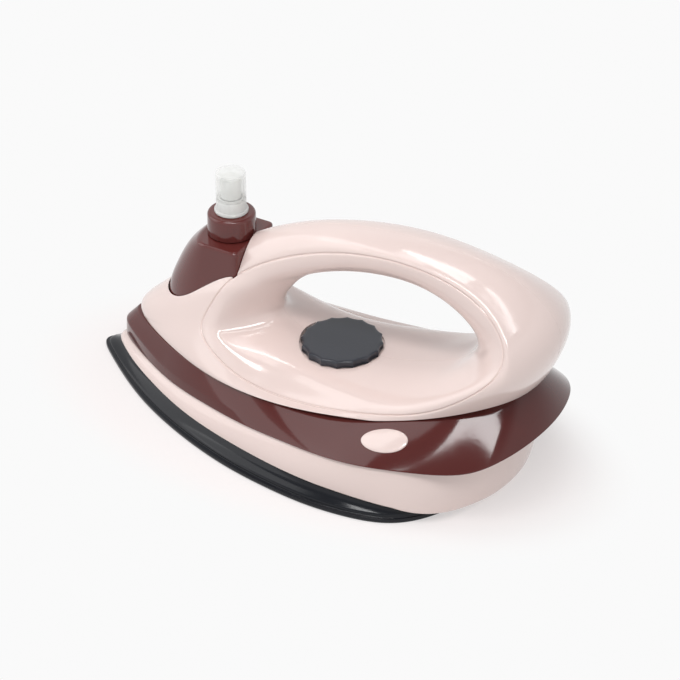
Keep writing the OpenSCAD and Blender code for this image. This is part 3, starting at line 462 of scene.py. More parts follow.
def mesh_of(name, points, faces):
    """Object at the origin with the given points and arrays of faces."""
    mesh = bpy.data.meshes.new(name)
    mesh.from_pydata(points.tolist(), [], [face for part in faces for face in part.tolist()])
    mesh.validate()
    piece = bpy.data.objects.new(name, mesh)
    bpy.context.scene.collection.objects.link(piece)
    return piece


def cut(piece, *cutters):
    """Takes the cutters' volumes out of the piece and keeps only the resulting mesh."""
    for points, faces in cutters:
        tool = mesh_of("cutter", points, faces)
        step = piece.modifiers.new("cut", "BOOLEAN")
        step.operation, step.solver, step.object = "DIFFERENCE", "EXACT", tool
        bpy.context.view_layer.update()
        done = bpy.data.meshes.new_from_object(
            piece.evaluated_get(bpy.context.evaluated_depsgraph_get()))
        piece.modifiers.remove(step)
        old, piece.data = piece.data, done
        bpy.data.meshes.remove(old)
        used = tool.data
        bpy.data.objects.remove(tool)
        bpy.data.meshes.remove(used)
    return piece


def settle(piece, look, body, slot, *nodes, angle=32):
    """Gives a finished piece its shading, finish and body, and hides the nodes it stands for.
    The slot is not used.
    """
    mesh = piece.data
    mesh.polygons.foreach_set("use_smooth", np.ones(len(mesh.polygons), bool))
    mesh.set_sharp_from_angle(angle=math.radians(angle))
    mesh.materials.clear()
    mesh.materials.append(look)
    mesh.update()
    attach(piece, body)
    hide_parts(*nodes)


def mirrored(points, faces):
    """The same closed surface on the other side of the centre plane."""
    return points * [1, -1, 1], [part[:, ::-1] for part in faces]


# Finishes

class Value:
    """A socket in a node tree. Sums, products and powers of it add Math nodes."""

    def __init__(self, tree, socket):
        self.tree, self.socket = tree, socket

    def _math(self, operation, a, b):
        return self.tree.node("ShaderNodeMath", {"operation": operation}, {0: a, 1: b})

    def __add__(self, other):
        return self._math("ADD", self, other)

    def __sub__(self, other):
        return self._math("SUBTRACT", self, other)

    def __rsub__(self, other):
        return self._math("SUBTRACT", other, self)

    def __mul__(self, other):
        return self._math("MULTIPLY", self, other)

    def __pow__(self, other):
        return self._math("POWER", self, other)

    def clamped(self):
        """The value kept between 0 and 1."""
        return self._math("MAXIMUM", self._math("MINIMUM", self, 1.0), 0.0)

    __radd__ = __add__
    __rmul__ = __mul__


class Tree:
    """A node tree that is built with one call for each node."""

    def __init__(self, tree):
        self.nodes, self.links = tree.nodes, tree.links
        self.nodes.clear()

    def node(self, kind, settings=None, values=None, out=0):
        """Adds a node of a type, sets its settings, then its inputs, and gives one output."""
        n = self.nodes.new(kind)
        for key, setting in (settings or {}).items():
            setattr(n, key, setting)
        for key, value in (values or {}).items():
            if isinstance(value, Value):
                self.links.new(value.socket, n.inputs[key])
            else:
                n.inputs[key].default_value = value
        return Value(self, n.outputs[out]) if n.outputs else None

    def step(self, value, low, high):
        """0 below low, 1 above high, smooth between."""
        return self.node("ShaderNodeMapRange", {"interpolation_type": "SMOOTHSTEP"},
                         {"Value": value, "From Min": low, "From Max": high})


class Finish(Tree):
    """A material built from nodes."""

    def __init__(self, name):
        self.material = bpy.data.materials.new(name)
        self.material.use_nodes = True
        super().__init__(self.material.node_tree)

    def coordinates(self, stretch=(1, 1, 1)):
        """Object coordinates, in metres, stretched along the axes."""
        place = self.node("ShaderNodeTexCoord", out="Object")
        return self.node("ShaderNodeMapping", None, {"Vector": place, "Scale": stretch})

    def noise(self, scale, detail, stretch=(1, 1, 1), roughness=0.5):
        """Soft noise between 0 and 1, with features of about one over the scale in metres."""
        return self.node("ShaderNodeTexNoise", None, {
            "Vector": self.coordinates(stretch), "Scale": scale, "Detail": detail,
            "Roughness": roughness})

    def blend(self, share, a, b):
        """Colour the given share of the way from colour a to colour b."""
        return self.node("ShaderNodeMix", {"data_type": "RGBA"}, {
            0: share, 6: a if isinstance(a, Value) else (*a, 1),
            7: b if isinstance(b, Value) else (*b, 1)}, out=2)

    def shader(self, values):
        """Principled shader with the given inputs, joined to the output."""
        surface = self.node("ShaderNodeBsdfPrincipled", None, values)
        self.node("ShaderNodeOutputMaterial", None, {"Surface": surface})
        return self.material


def shade(c, factor):
    """The colour made lighter or darker."""
    return tuple(min(1.0, x * factor) for x in c)


def moulded(name, base, roughness, clouds, scuffs, dusty, coat=0.0, grain=0.00002, ior=1.5):
    """Glossy moulded plastic: clouds in the colour, orange-peel grain in metres, scuffs as hair
    scratches that are rougher and a little paler, and a dusty haze in patches."""
    f = Finish(name)
    cloud = f.noise(28, 3)
    tint = f.blend(cloud, shade(base, 1 - clouds), shade(base, 1 + clouds))
    hair = f.noise(900, 2, stretch=(0.05, 1, 0.4)) * f.noise(640, 2, stretch=(1, 0.06, 0.5))
    scratch = f.step(hair, 0.43, 0.52) * f.step(f.noise(60, 1), 0.52, 0.72)
    haze = f.step(f.noise(45, 4, roughness=0.65), 0.5, 0.8)
    pale = f.blend(scratch * scuffs, tint, shade(base, 1.6))
    rough = (haze * dusty) + (scratch * (0.5 * scuffs)) + roughness
    peel = f.node("ShaderNodeBump", None, {
        "Strength": 0.35, "Distance": grain, "Height": f.noise(520, 1)})
    return f.shader({
        "Base Color": pale, "Roughness": rough.clamped(), "Normal": peel,
        "Coat Weight": coat, "Coat Roughness": 0.04, "IOR": ior})


def milky(name, base, alpha):
    """Unpigmented plastic: milky, with flow clouds and a faint grain."""
    f = Finish(name)
    cloud = f.noise(420, 3, stretch=(1, 1, 0.5))
    tint = f.blend(cloud, shade(base, 0.94), shade(base, 1.04))
    peel = f.node("ShaderNodeBump", None, {
        "Strength": 0.4, "Distance": 0.00003, "Height": f.noise(1500, 2)})
    return f.shader({
        "Base Color": tint, "Roughness": f.noise(300, 2) * 0.15 + 0.22, "Normal": peel,
        "Alpha": cloud * 0.1 + (alpha - 0.05), "IOR": 1.5})


def clear(name, base, foot, tall):
    """Thin clear moulding that stands on the height foot: seen through face on, denser at its
    edges and, frosted, along its foot and roof, with faint flow marks."""
    f = Finish(name)
    facing = f.node("ShaderNodeLayerWeight", None, {"Blend": 0.5}, out="Facing")
    flow = f.noise(260, 3, stretch=(1, 1, 0.35))
    height = f.node("ShaderNodeSeparateXYZ", None, {0: f.coordinates()}, out="Z")
    height = (height - foot) * (1 / tall)
    frost = (1.0 - f.step(height, 0.30, 0.36)) * 0.30 + f.step(height, 0.955, 0.975) * 0.10
    dense = (facing ** 3.0) * 0.35 + (flow * 0.10) + frost + 0.14
    return f.shader({
        "Base Color": f.blend(flow, shade(base, 0.97), base),
        "Roughness": flow * 0.06 + 0.05, "Alpha": dense.clamped(), "IOR": 1.5})


def plated(name, base):
    """Plated steel: brushed streaks in roughness and a faint change of tone."""
    f = Finish(name)
    streak = f.noise(1400, 2, stretch=(1, 1, 0.1))
    return f.shader({
        "Base Color": f.blend(streak, shade(base, 0.85), base), "Metallic": 1.0,
        "Roughness": streak * 0.2 + 0.25})


def soft_rubber(name, base):
    """Soft washer: dull, with a fine grain."""
    f = Finish(name)
    grain = f.noise(2200, 2)
    bump = f.node("ShaderNodeBump", None, {"Strength": 0.5, "Distance": 0.00004,
                                           "Height": grain})
    return f.shader({"Base Color": f.blend(grain, shade(base, 0.9), base),
                     "Roughness": grain * 0.1 + 0.7, "Normal": bump})


def finish(name):
    """The finish of that name, made the first time it is asked for."""
    found = bpy.data.materials.get("toy_" + name)
    if found:
        return found
    scene = bpy.context.scene
    c, t = scene.toy_iron_colours, scene.toy_iron_tank
    make, options = {
        "pink": (moulded, {"base": tuple(c.pink), "roughness": 0.11, "coat": 0.3,
                           "clouds": 0.012, "dusty": 0.05, "scuffs": 0.15}),
        "burgundy": (moulded, {"base": tuple(c.burgundy), "roughness": 0.09, "clouds": 0.10,
                               "dusty": 0.06, "scuffs": 0.5, "ior": 1.46}),
        # The tank and its collar take the skirt's burgundy made a quarter lighter: painted light
        # for the brighter look they have under the lamps
        "tank": (moulded, {"base": shade(c.burgundy, 1.25), "roughness": 0.10, "coat": 0.2,
                           "clouds": 0.08, "dusty": 0.06, "scuffs": 0.5}),
        "black": (moulded, {"base": shade(c.black, 0.60), "roughness": 0.11, "clouds": 0.10,
                            "dusty": 0.08, "scuffs": 0.6, "ior": 1.34}),
        "dial": (moulded, {"base": shade(c.black, 1.8), "roughness": 0.28, "clouds": 0.10,
                           "grain": 0.00004, "dusty": 0.10, "scuffs": 0.8}),
        "natural": (milky, {"base": tuple(c.natural), "alpha": 0.60}),
        "clear": (clear, {"base": (0.97, 0.97, 0.95), "tall": t.cap_height,
                          "foot": t.top + t.collar_height + 2 * scene.toy_iron_sizes.gap}),
        "steel": (plated, {"base": tuple(c.steel)}),
        "rubber": (soft_rubber, {"base": (0.75, 0.75, 0.72)}),
    }[name]
    return make("toy_" + name, **options)


# Pieces

def rail_net(s):
    """Control net of the upper shell: six rails and, beyond the first and the last, the mirror
    images of the two next to each, sharpened round the handle hole and then across."""
    scale = [s.length, s.shell_width, s.handle_height]
    rails = [np.array(RAIL_SHARES[n], float) * scale for n in
             ("outer", "shoulder", "groove", "rim", "dish", "hole")]
    flip = np.array([1, -1, 1])
    rows = np.stack([rails[2] * flip, rails[1] * flip, *rails, rails[4] * flip,
                     rails[3] * flip])
    rows = sharpened(rows, np.roll(rows, 1, axis=1), np.roll(rows, -1, axis=1))
    rows[1:-1] = sharpened(rows[1:-1], rows[:-2], rows[2:])
    return rows


def skin(net, u, v):
    """Points of the shell u stations round the handle hole and v rails in from the outer one:
    the weighted sum of four by four places of the net."""
    stations = net.shape[1]
    i = np.floor(u).astype(int)
    j = np.clip(np.floor(v).astype(int), 0, HOLE_RAIL - 1)
    a, b = weights(u - i), weights(v - j)
    return sum((b[m] * a[n])[..., None] * net[j + 1 + m, (i - 1 + n) % stations]
               for m in range(4) for n in range(4))


def seam_crossing(net, seam, u):
    """The rail number at which each station line comes up through the seam, or 0 where the
    whole line is above it."""
    far, tries = GROOVE_RAIL + 0.4, 1201
    v = np.linspace(0, far, tries)
    p = skin(net, u[:, None] + 0 * v, v + 0 * u[:, None])
    over = p[..., 2] - np.interp(p[..., 0], seam[:, 0], seam[:, 1])
    last = len(v) - 1 - (over < 0)[:, ::-1].argmax(axis=1)
    crosses = (over < 0).any(axis=1)
    k = np.minimum(last, len(v) - 2)
    row = np.arange(len(u))
    a, b = over[row, k], over[row, k + 1]
    share = np.where(crosses, -a / np.where(b - a == 0, 1, b - a), 0)
    return np.where(crosses, v[k] + share * (v[k + 1] - v[k]), 0.0)


def shell_half(s, body):
    """Right half of the upper shell: the ring loft of the rails from the seam or the centre
    plane to the handle hole, moved inwards along its normal by a quarter round at its edges and
    by a bell curve along the groove rail, with a flat underside on the seam and a flat wall on
    the centre plane."""
    net = rail_net(s)
    u = np.arange(STATIONS * STATION_STEPS) / STATION_STEPS
    start = seam_crossing(net, body.seam, u)
    near = 1e-3  # the share of a rail or station over which slopes are taken
    # Rows below and above the groove, those of the flank, whose normals point outwards, the
    # rails over which the seam's rounding sets in, and the half width of the parting line
    below, above, flank = 24, 32, slice(20, 40)
    seam_fade, parting_width = 0.15, 0.12 * MM

    def reach(v):
        """Metres for each rail at v."""
        return np.linalg.norm(skin(net, u, v + near) - skin(net, u, v), axis=1) / near

    mark, brink = np.full(len(u), float(GROOVE_RAIL)), np.full(len(u), HOLE_RAIL - near)
    edge = np.array([0, 0.04, 0.10, 0.18, 0.30, 0.45, 0.7]) * MM
    line = np.array([-1, -0.6, -0.42, -0.3, -0.2, -0.1, 0, 0.1, 0.2, 0.3, 0.42, 0.6, 1]) * MM
    first = start + edge[:, None] / reach(start)
    groove = mark + line[:, None] / reach(mark)
    last = brink + near - edge[::-1, None] / reach(brink)
    low = np.linspace(0, 1, below + 2)[1:-1, None]
    high = np.linspace(0, 1, above + 2)[1:-1, None]
    v = np.vstack([first, first[-1] + low * (groove[0] - first[-1]), groove,
                   groove[-1] + high * (last[0] - groove[-1]), last])
    v = np.clip(np.maximum.accumulate(v, axis=0), 0, HOLE_RAIL)
    uu = np.broadcast_to(u, v.shape)
    p = skin(net, uu, v)
    du = skin(net, (uu + near) % STATIONS, v) - skin(net, (uu - near) % STATIONS, v)
    dv = (skin(net, uu, np.minimum(v + near, HOLE_RAIL))
          - skin(net, uu, np.maximum(v - near, 0)))
    normal = np.cross(du, dv)
    normal /= np.linalg.norm(normal, axis=-1)[..., None]
    normal *= np.sign(normal[flank, :, 1].mean())
    pull = np.zeros(v.shape)
    on_seam = np.clip(start / seam_fade, 0, 1)
    r = s.edge_round
    fall = r - np.sqrt(np.maximum(r ** 2 - np.maximum(r - edge, 0) ** 2, 0))
    dent = s.parting_depth * np.exp(-(edge / parting_width) ** 2)
    pull[:len(edge)] = fall[:, None] * on_seam + dent[:, None] * (1 - on_seam)
    pull[-len(edge):] = dent[::-1, None]
    engraved = slice(len(edge) + below, len(edge) + below + len(line))
    pull[engraved] += s.groove_depth * np.exp(-(line[:, None] / s.groove_width) ** 2)
    p = p - normal * pull[..., None]
    p[-1, :, 1] = 0
    p[0, :, 1] = np.where(start > 0, p[0, :, 1], 0)
    centre = p[0] * [1, 0, 1]
    rows = np.vstack([centre[None], p])
    quads = grid_quads(len(rows), len(u), close_rows=True, close_columns=True)
    return solid(rows.reshape(-1, 3), quads)


class TOYIRON_OT_upper_shell(Operator):
    """Makes the two halves of the upper shell with the handle"""
    bl_idname = "toyiron.upper_shell"
    bl_label = "Upper shell"

    def execute(self, context):
        # Both halves less the tank's pocket and the dial's flat spot, the right one also less
        # the holes round the heads of the screws
        scene = context.scene
        s, d, t = scene.toy_iron_sizes, scene.toy_iron_dial, scene.toy_iron_tank
        body = Body(s)
        right = shell_half(s, body)
        plan = tank_outline(t, 0, -s.gap)
        plan = np.vstack([plan * [1, -1], plan[-2:0:-1]])
        pocket = upright(plan, t.low - s.gap, t.low + s.handle_height)
        spot = post(d.radius + 2 * s.gap, d.floor, d.floor + 0.25 * s.handle_height,
                    (d.centre, 0, 0), steps=144)
        floor, beyond = 5 * MM, 60 * MM
        heads = [post(RECESS_RADIUS, floor, beyond, (x * s.length, 0, z * s.handle_height), "Y")
                 for x, z in SHELL_SCREW_SHARES]
        far = cut(mesh_of("upper_shell_right_skin", *right), pocket, spot, *heads)
        near = cut(mesh_of("upper_shell_left_skin", *mirrored(*right)), pocket, spot)
        for piece, node in ((far, "upper_shell_right"), (near, "upper_shell_left")):
            settle(piece, finish("pink"), "housing", "pink_plastic", node)
        return {"FINISHED"}


def band_row(s, body, t):
    """Outer surface of the skirt at the share t of its height: the lower outline mixed with the
    upper one and moved outwards by a parabola of t, which turns towards the toe into two
    straight slopes that meet in a softened ridge."""
    low = body.outline("band_low", s.band_width, body.band)
    top = body.outline("band_top", s.band_width, body.seam)
    # Shares of the length at which the toe's bulge and the ridge end and over which they grow,
    # the ridge's share of the height, its rise at the toe, and the softness of its corner
    toe_end, toe_fade = -0.30, 0.13
    ridge_end, ridge_fade = 0.05, 0.35
    ridge_share, toe_rise, softness = 0.34, 0.24, 0.004
    x = low[:, 0] / s.length
    toe = np.clip((toe_end - x) / toe_fade, 0, 1)
    ridge = np.clip((ridge_end - x) / ridge_fade, 0, 1) ** 1.5
    place = ridge_share + toe_rise * toe
    share = np.minimum(t / place, (1 - t) / (1 - place))
    peak = 0.5 * (share + 1) - 0.5 * np.sqrt((share - 1) ** 2 + softness)
    plain = 4 * t * (1 - t)
    out = s.bulge * (1 + s.toe_bulge * toe) * (plain * (1 - ridge) + peak * ridge)
    return inset(mix(low, top, t), -out)


def band_half(s, body):
    """Right half of the skirt: outer surface with rounded edges, the flat on the seam, the
    inner wall and the flat underneath, as one loop carried from toe to heel."""
    tall, lines = 0.024, 34  # rough height, for the share of the rounded edges, and lines
    r = s.edge_round
    ups = [(inwards, down / tall) for inwards, down in rounded(r, 6)]
    rows = [inset(band_row(s, body, d), i) for i, d in ups]
    rows += [band_row(s, body, t) for t in np.linspace(r / tall, 1 - r / tall, lines)]
    rows += [inset(band_row(s, body, 1 - d), i) for i, d in ups[::-1]]
    top = body.outline("band_top", s.band_width, body.seam)
    under = body.outline("tray_top", s.sole_width, body.band)
    rows += [inset(top, s.band_wall), inset(under, s.wall)]
    return loop_along(rows)


class TOYIRON_OT_band(Operator):
    """Makes the two halves of the skirt"""
    bl_idname = "toyiron.band"
    bl_label = "Skirt"

    def execute(self, context):
        s = context.scene.toy_iron_sizes
        right = band_half(s, Body(s))
        for data, side in ((right, "right"), (mirrored(*right), "left")):
            piece = mesh_of("band_" + side + "_skin", *data)
            settle(piece, finish("burgundy"), "housing", "burgundy_plastic", "band_" + side)
        return {"FINISHED"}


class TOYIRON_OT_inserts(Operator):
    """Makes the oval inserts of the skirt"""
    bl_idname = "toyiron.inserts"
    bl_label = "Oval inserts"

    def execute(self, context):
        s = context.scene.toy_iron_sizes
        body = Body(s)
        # Rings of an ellipse on the skirt's outer surface, each point found between the four
        # nearest of the sheet and raised along the normal by a constant, a parabola of the
        # ring's share and a quarter round at the edge. The back lies deeper in the skirt
        lines, points = 40, 72
        crown, sunk, depth, flat_share = 0.35, 0.25 * MM, 1.3 * MM, 0.9
        sheet = np.stack([band_row(s, body, t) for t in np.linspace(0, 1, lines + 1)])
        station = (sheet.shape[1] - 1) * INSERT_RUN
        rise = INSERT_RISE * lines
        k, j = int(round(station)), int(round(rise))
        per_station = np.linalg.norm(sheet[j, k + 1] - sheet[j, k - 1]) / 2
        per_row = np.linalg.norm(sheet[j + 1, k] - sheet[j - 1, k]) / 2
        share = np.concatenate([np.linspace(0, flat_share, 14), np.linspace(0.93, 1, 7)])
        a = np.linspace(0, 2 * math.pi, points, endpoint=False)
        x = station + INSERT_AXES[0] * share[:, None] * np.cos(a) / per_station
        z = rise + INSERT_AXES[1] * share[:, None] * np.sin(a) / per_row
        i, m = np.floor(x).astype(int), np.floor(z).astype(int)
        fx, fz = (x - i)[..., None], (z - m)[..., None]
        on = ((1 - fz) * ((1 - fx) * sheet[m, i] + fx * sheet[m, i + 1])
              + fz * ((1 - fx) * sheet[m + 1, i] + fx * sheet[m + 1, i + 1]))
        run, up = sheet[j, k + 1] - sheet[j, k - 1], sheet[j + 1, k] - sheet[j - 1, k]
        out = np.cross(up, run)
        out *= np.sign(out[1]) / np.linalg.norm(out)
        bend = np.clip((share - flat_share) / (1 - flat_share), 0, 1)
        edge = np.sqrt(np.clip(1 - bend ** 2, 0, 1))
        dome = (crown + crown * (1 - share ** 2) + crown * edge) * MM - sunk
        top = on + dome[:, None, None] * out
        low = top[-1:] - depth * out
        base = low.mean(axis=1, keepdims=True) + 0 * low
        rows = np.vstack([top, low, base])
        right = solid(rows.reshape(-1, 3), grid_quads(len(rows), len(a), close_columns=True))
        for data, side in ((right, "right"), (mirrored(*right), "left")):
            piece = mesh_of("insert_" + side + "_skin", *data)
            settle(piece, finish("pink"), "housing", "pink_plastic", "insert_" + side)
        return {"FINISHED"}


class TOYIRON_OT_lower_shell(Operator):
    """Makes the tray between the skirt and the soleplate"""
    bl_idname = "toyiron.lower_shell"
    bl_label = "Tray"

    def execute(self, context):
        s = context.scene.toy_iron_sizes
        body = Body(s)
        low = body.outline("tray_low", s.sole_width, body.floor)
        top = body.outline("tray_top", s.sole_width, body.band)
        # The lower outline mixed with the upper one, moved outwards by a parabola and inwards
        # at the lower edge by another
        edge, edge_share, lines = 0.45 * MM, 0.04, 30
        rows = [inset(low, 0.5 * MM)]
        rows += [inset(mix(low, top, t), -s.bulge * 4 * t * (1 - t) + edge *
                       max(0, 1 - t / edge_share) ** 2) for t in np.linspace(0, 1, lines)]
        piece = mesh_of("lower_shell_skin", *stacked(rows))
        settle(piece, finish("pink"), "housing", "pink_plastic", "lower_shell")
        return {"FINISHED"}


class TOYIRON_OT_soleplate(Operator):
    """Makes the soleplate with its lip, groove and hollow wall"""
    bl_idname = "toyiron.soleplate"
    bl_label = "Soleplate"

    def execute(self, context):
        s = context.scene.toy_iron_sizes
        body = Body(s)
        flat = np.array([[-1.0, 0], [1, 0]])
        lip = body.outline("sole_lip", s.sole_width, flat)
        top = body.outline("sole_top", s.sole_width, flat)
        # Each line of the side is the lip mixed with the top outline, at its own height or,
        # where the tray comes lower, at the tray's
        rows = []
        for height, way in SOLE_SIDE_SHARES:
            row = mix(lip, top, way)
            row[:, 2] = np.minimum(height * s.sole_height,
                                   np.interp(row[:, 0], *body.floor.T))
            rows.append(row)
        piece = mesh_of("soleplate_skin", *stacked(rows))
        holes = [post(RECESS_RADIUS, -MM, 1.9 * MM, (x * s.length, 0, 0))
                 for x in SOLE_SCREW_SHARES]
        cut(piece, *holes)
        settle(piece, finish("black"), "housing", "black_plastic", "soleplate", angle=40)
        return {"FINISHED"}


class TOYIRON_OT_dial(Operator):
    """Makes the scalloped dial with its stem"""
    bl_idname = "toyiron.dial"
    bl_label = "Dial"

    def execute(self, context):
        scene = context.scene
        d, gap = scene.toy_iron_dial, scene.toy_iron_sizes.gap
        # Profile of [radius, height] carried round the axis, its radius less a parabola for
        # each scallop, which fades from the rim inwards
        points_each, fade_from, fade_run = 18, 0.72, 0.26
        n = d.scallops * points_each
        a = np.arange(n) / n
        share = (a * d.scallops) % 1
        hollow = d.scallop * (1 - (2 * share - 1) ** 2)
        t, r = d.thickness, d.radius
        edge, crown = 0.65 * MM, 0.1 * MM
        side = [(0.0, 0.0), (r - 0.9 * MM, 0.0), (r - 0.25 * MM, 0.1 * MM), (r, 0.45 * MM),
                (r, t - 0.75 * MM), (r - 0.08 * MM, t - 0.45 * MM), (r - 0.3 * MM, t - 0.22 * MM),
                (r - edge, t - crown)]
        face = [((r - edge) * f, t - crown + crown * (1 - f ** 2))
                for f in np.linspace(1, 0, 16)[1:]]
        profile = np.array(side + face)
        near_rim = np.clip((profile[:, 0] / r - fade_from) / fade_run, 0, 1)[:, None] ** 1.5
        radius = profile[:, 0][:, None] - hollow * near_rim
        radius = np.maximum(radius, 0)
        z = d.floor + gap + profile[:, 1][:, None] + 0 * radius
        angle = 2 * math.pi * a
        rows = np.stack([d.centre + radius * np.cos(angle), radius * np.sin(angle), z], axis=-1)
        disc = solid(rows.reshape(-1, 3), grid_quads(len(rows), n, close_columns=True))
        low = d.floor + gap - d.stem_length
        bore = 1.4 * MM
        stem = turned([(bore, low), (d.stem_radius, low), (d.stem_radius, d.floor + gap + MM),
                       (bore, d.floor + gap + MM)], 48, (d.centre, 0, 0))
        piece = mesh_of("dial_knob_skin", *joined(disc, stem))
        settle(piece, finish("dial"), "dial", "black_plastic", "dial_knob", angle=28)
        return {"FINISHED"}


def tank_outline(t, way, inward):
    """Plan of the tank at the share way of its lean, nose to back along one side: a quarter of
    a superellipse, which gets shorter as the nose leans back, a straight side and a back with
    a small quarter round."""
    low_nose, top_nose = 0.54 * t.length, 0.19 * t.length
    roundness, corner, bow = 0.92, 0.06 * t.width, 0.12
    nose_steps, side_steps, corner_steps = 40, 7, 6
    nose = low_nose + (top_nose - low_nose) * way
    front = t.back - t.length + way * t.lean + inward
    half = t.width / 2 - inward
    back = t.back - inward
    a = np.linspace(0, math.pi / 2, nose_steps)
    x = front + nose * (1 - np.cos(a) ** roundness)
    y = half * np.sin(a) ** roundness
    b = np.linspace(0, math.pi / 2, corner_steps + 1)[1:]
    round_x = back - corner + corner * np.sin(b) * (1 - bow * np.cos(b))
    round_y = half - corner + corner * np.cos(b)
    side_x = np.linspace(x[-1], back - corner, side_steps + 1)[1:]
    return np.column_stack([np.concatenate([x, side_x, round_x, [back]]),
                            np.concatenate([y, np.full(side_steps, half), round_y, [0]])])


class TOYIRON_OT_tank(Operator):
    """Makes the water tank with its neck"""
    bl_idname = "toyiron.tank"
    bl_label = "Water tank"

    def execute(self, context):
        t = context.scene.toy_iron_tank
        upright_share, lines = 0.22, 40
        step = t.low + upright_share * (t.top - t.low)
        r = t.edge
        # Plans from the bottom up: upright below the step, then leaning by the table, and drawn
        # in by a quarter round at the top
        table = open_line(NOSE_LEAN_SHARES, [1, 1])
        heights = np.concatenate([[t.low, t.low + 0.5 * (step - t.low)],
                                  np.linspace(step, t.top - r, lines)])
        rises = [(z, 0.0) for z in heights]
        rises += [(t.top - down, inwards) for inwards, down in
                  [(r * (1 - math.cos(x)), r * (1 - math.sin(x)))
                   for x in np.linspace(0, math.pi / 2, 7)[1:]]]
        rows = []
        for z, inward in rises:
            share = np.clip((z - step) / (t.top - step), 0, 1)
            way = float(np.interp(share, *table.T))
            plan = tank_outline(t, way, inward)
            rows.append(np.column_stack([plan, np.full(len(plan), z)]))
        shell = stacked(rows)
        low, high, n = t.top - MM, t.top + t.neck_length, t.neck_radius
        wall, edge = 1.9 * MM, 0.4 * MM
        neck = turned([(n - wall, low), (n, low), (n, high - edge), (n - edge, high),
                       (n - wall, high)], 72, (t.axis, 0, 0))
        piece = mesh_of("water_tank_skin", *joined(shell, neck))
        settle(piece, finish("tank"), "tank", "burgundy_plastic", "water_tank", "tank_base")
        return {"FINISHED"}


class TOYIRON_OT_sprayer(Operator):
    """Makes the screw collar, the spray button and the clear cap"""
    bl_idname = "toyiron.sprayer"
    bl_label = "Sprayer"

    def execute(self, context):
        # Profiles of [radius, height], each from the foot outwards and up, with edges that are
        # rounded by a few tenths of a millimetre
        t, gap = context.scene.toy_iron_tank, context.scene.toy_iron_sizes.gap
        centre = (t.axis, 0, 0)
        low, r = t.top + gap, t.collar_radius
        high, edge = low + t.collar_height, 1.4 * MM
        flange = 1.75 * MM
        roof = t.top + t.neck_length + flange
        shoulder = [(r - 0.15 * MM - edge * (1 - math.cos(x)), high - edge * (1 - math.sin(x)))
                    for x in np.linspace(0, math.pi / 2, 9)]
        bore = t.turret_radius + gap
        collar = turned([(t.neck_radius + gap, low), (r - 0.2 * MM, low), (r, low + 0.2 * MM),
                         *shoulder, (bore + 0.3 * MM, high), (bore, high - 0.3 * MM),
                         (bore, roof), (t.neck_radius + gap, roof)], 96, centre)
        settle(mesh_of("pump_collar_skin", *collar), finish("tank"), "collar",
               "burgundy_plastic", "pump_collar")

        turret, nozzle = high + 7 * MM, 1.75 * MM
        b, z, tall = t.button_radius, turret + gap, t.button_height
        button = turned([(0, z), (b - 0.1 * MM, z), (b, z + 0.1 * MM), (b, z + tall - 0.8 * MM),
                         (b - 0.25 * MM, z + tall - 0.25 * MM), (b - 0.8 * MM, z + tall),
                         (b / 2, z + tall - 0.4 * MM), (0, z + tall - 0.5 * MM)], 64, centre)
        piece = mesh_of("spray_button_skin", *button)
        cut(piece, post(nozzle, -b - MM, 1.6 * MM - b, (t.axis, 0, z + 0.62 * tall), "X"))
        settle(piece, finish("natural"), "button", "natural_plastic", "spray_button")

        c, w, z = t.cap_radius, t.cap_wall, high + gap
        top = z + t.cap_height
        foot = c + 1.2 * w
        cap = turned([(c - w, z), (foot - 0.2 * MM, z), (foot, z + 0.2 * MM),
                      (foot, z + 1.0 * MM), (foot - 0.25 * MM, z + 1.3 * MM),
                      (c + 0.1 * MM, z + 1.45 * MM), (c, z + 1.8 * MM),
                      (c, top - 1.0 * MM), (c - 0.3 * MM, top - 0.3 * MM), (c - 0.9 * MM, top),
                      (0, top), (0, top - w), (c - w - 0.3 * MM, top - w),
                      (c - w, top - w - 0.4 * MM)], 96, centre)
        settle(mesh_of("spray_cap_skin", *cap), finish("clear"), "cap", "clear_plastic",
               "spray_cap")
        return {"FINISHED"}


class TOYIRON_OT_small_parts(Operator):
    """Gives the inner parts and fasteners of the frame their finishes"""
    bl_idname = "toyiron.small_parts"
    bl_label = "Inner parts and fasteners"

    def execute(self, context):
        finishes = {
            "steel": ("shell_screws", "base_screws", "sole_screws", "dial_washer", "dial_screw",
                      "pump_spring", "check_ball"),
            "natural": ("pump_housing", "pump_piston", "dip_tube", "nozzle_insert"),
            "rubber": ("pump_gasket",),
        }
        for name, nodes in finishes.items():
            for node in nodes:
                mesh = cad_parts[node].data
                mesh.materials.clear()
                mesh.materials.append(finish(name))
        return {"FINISHED"}


# Stage

def floor_finish(tone):
    """Pale floor: it glows at the background's level for the camera and takes a share of real
    light near the object, so that only the soft shadow shows."""
    f = Finish("floor")
    place = f.coordinates((1 / SHADOW_AXES[0], 1 / SHADOW_AXES[1], 1))
    distance = f.node("ShaderNodeVectorMath", {"operation": "LENGTH"}, {0: place}, out="Value")
    near = 1.0 - f.step(distance, *SHADOW_FADE)
    glow = f.node("ShaderNodeEmission", None, {"Color": (*tone, 1), "Strength": 1.0})
    # The matt share's pink tint is painted light, the glow of the pink tray on the floor
    matt = f.node("ShaderNodeBsdfDiffuse", None, {"Color": PAINTED_BOUNCE_COLOUR})
    mixed = f.node("ShaderNodeMixShader", None, {0: near * SHADOW_SHARE, 1: glow, 2: matt})
    f.node("ShaderNodeOutputMaterial", None, {"Surface": mixed})
    return f.material


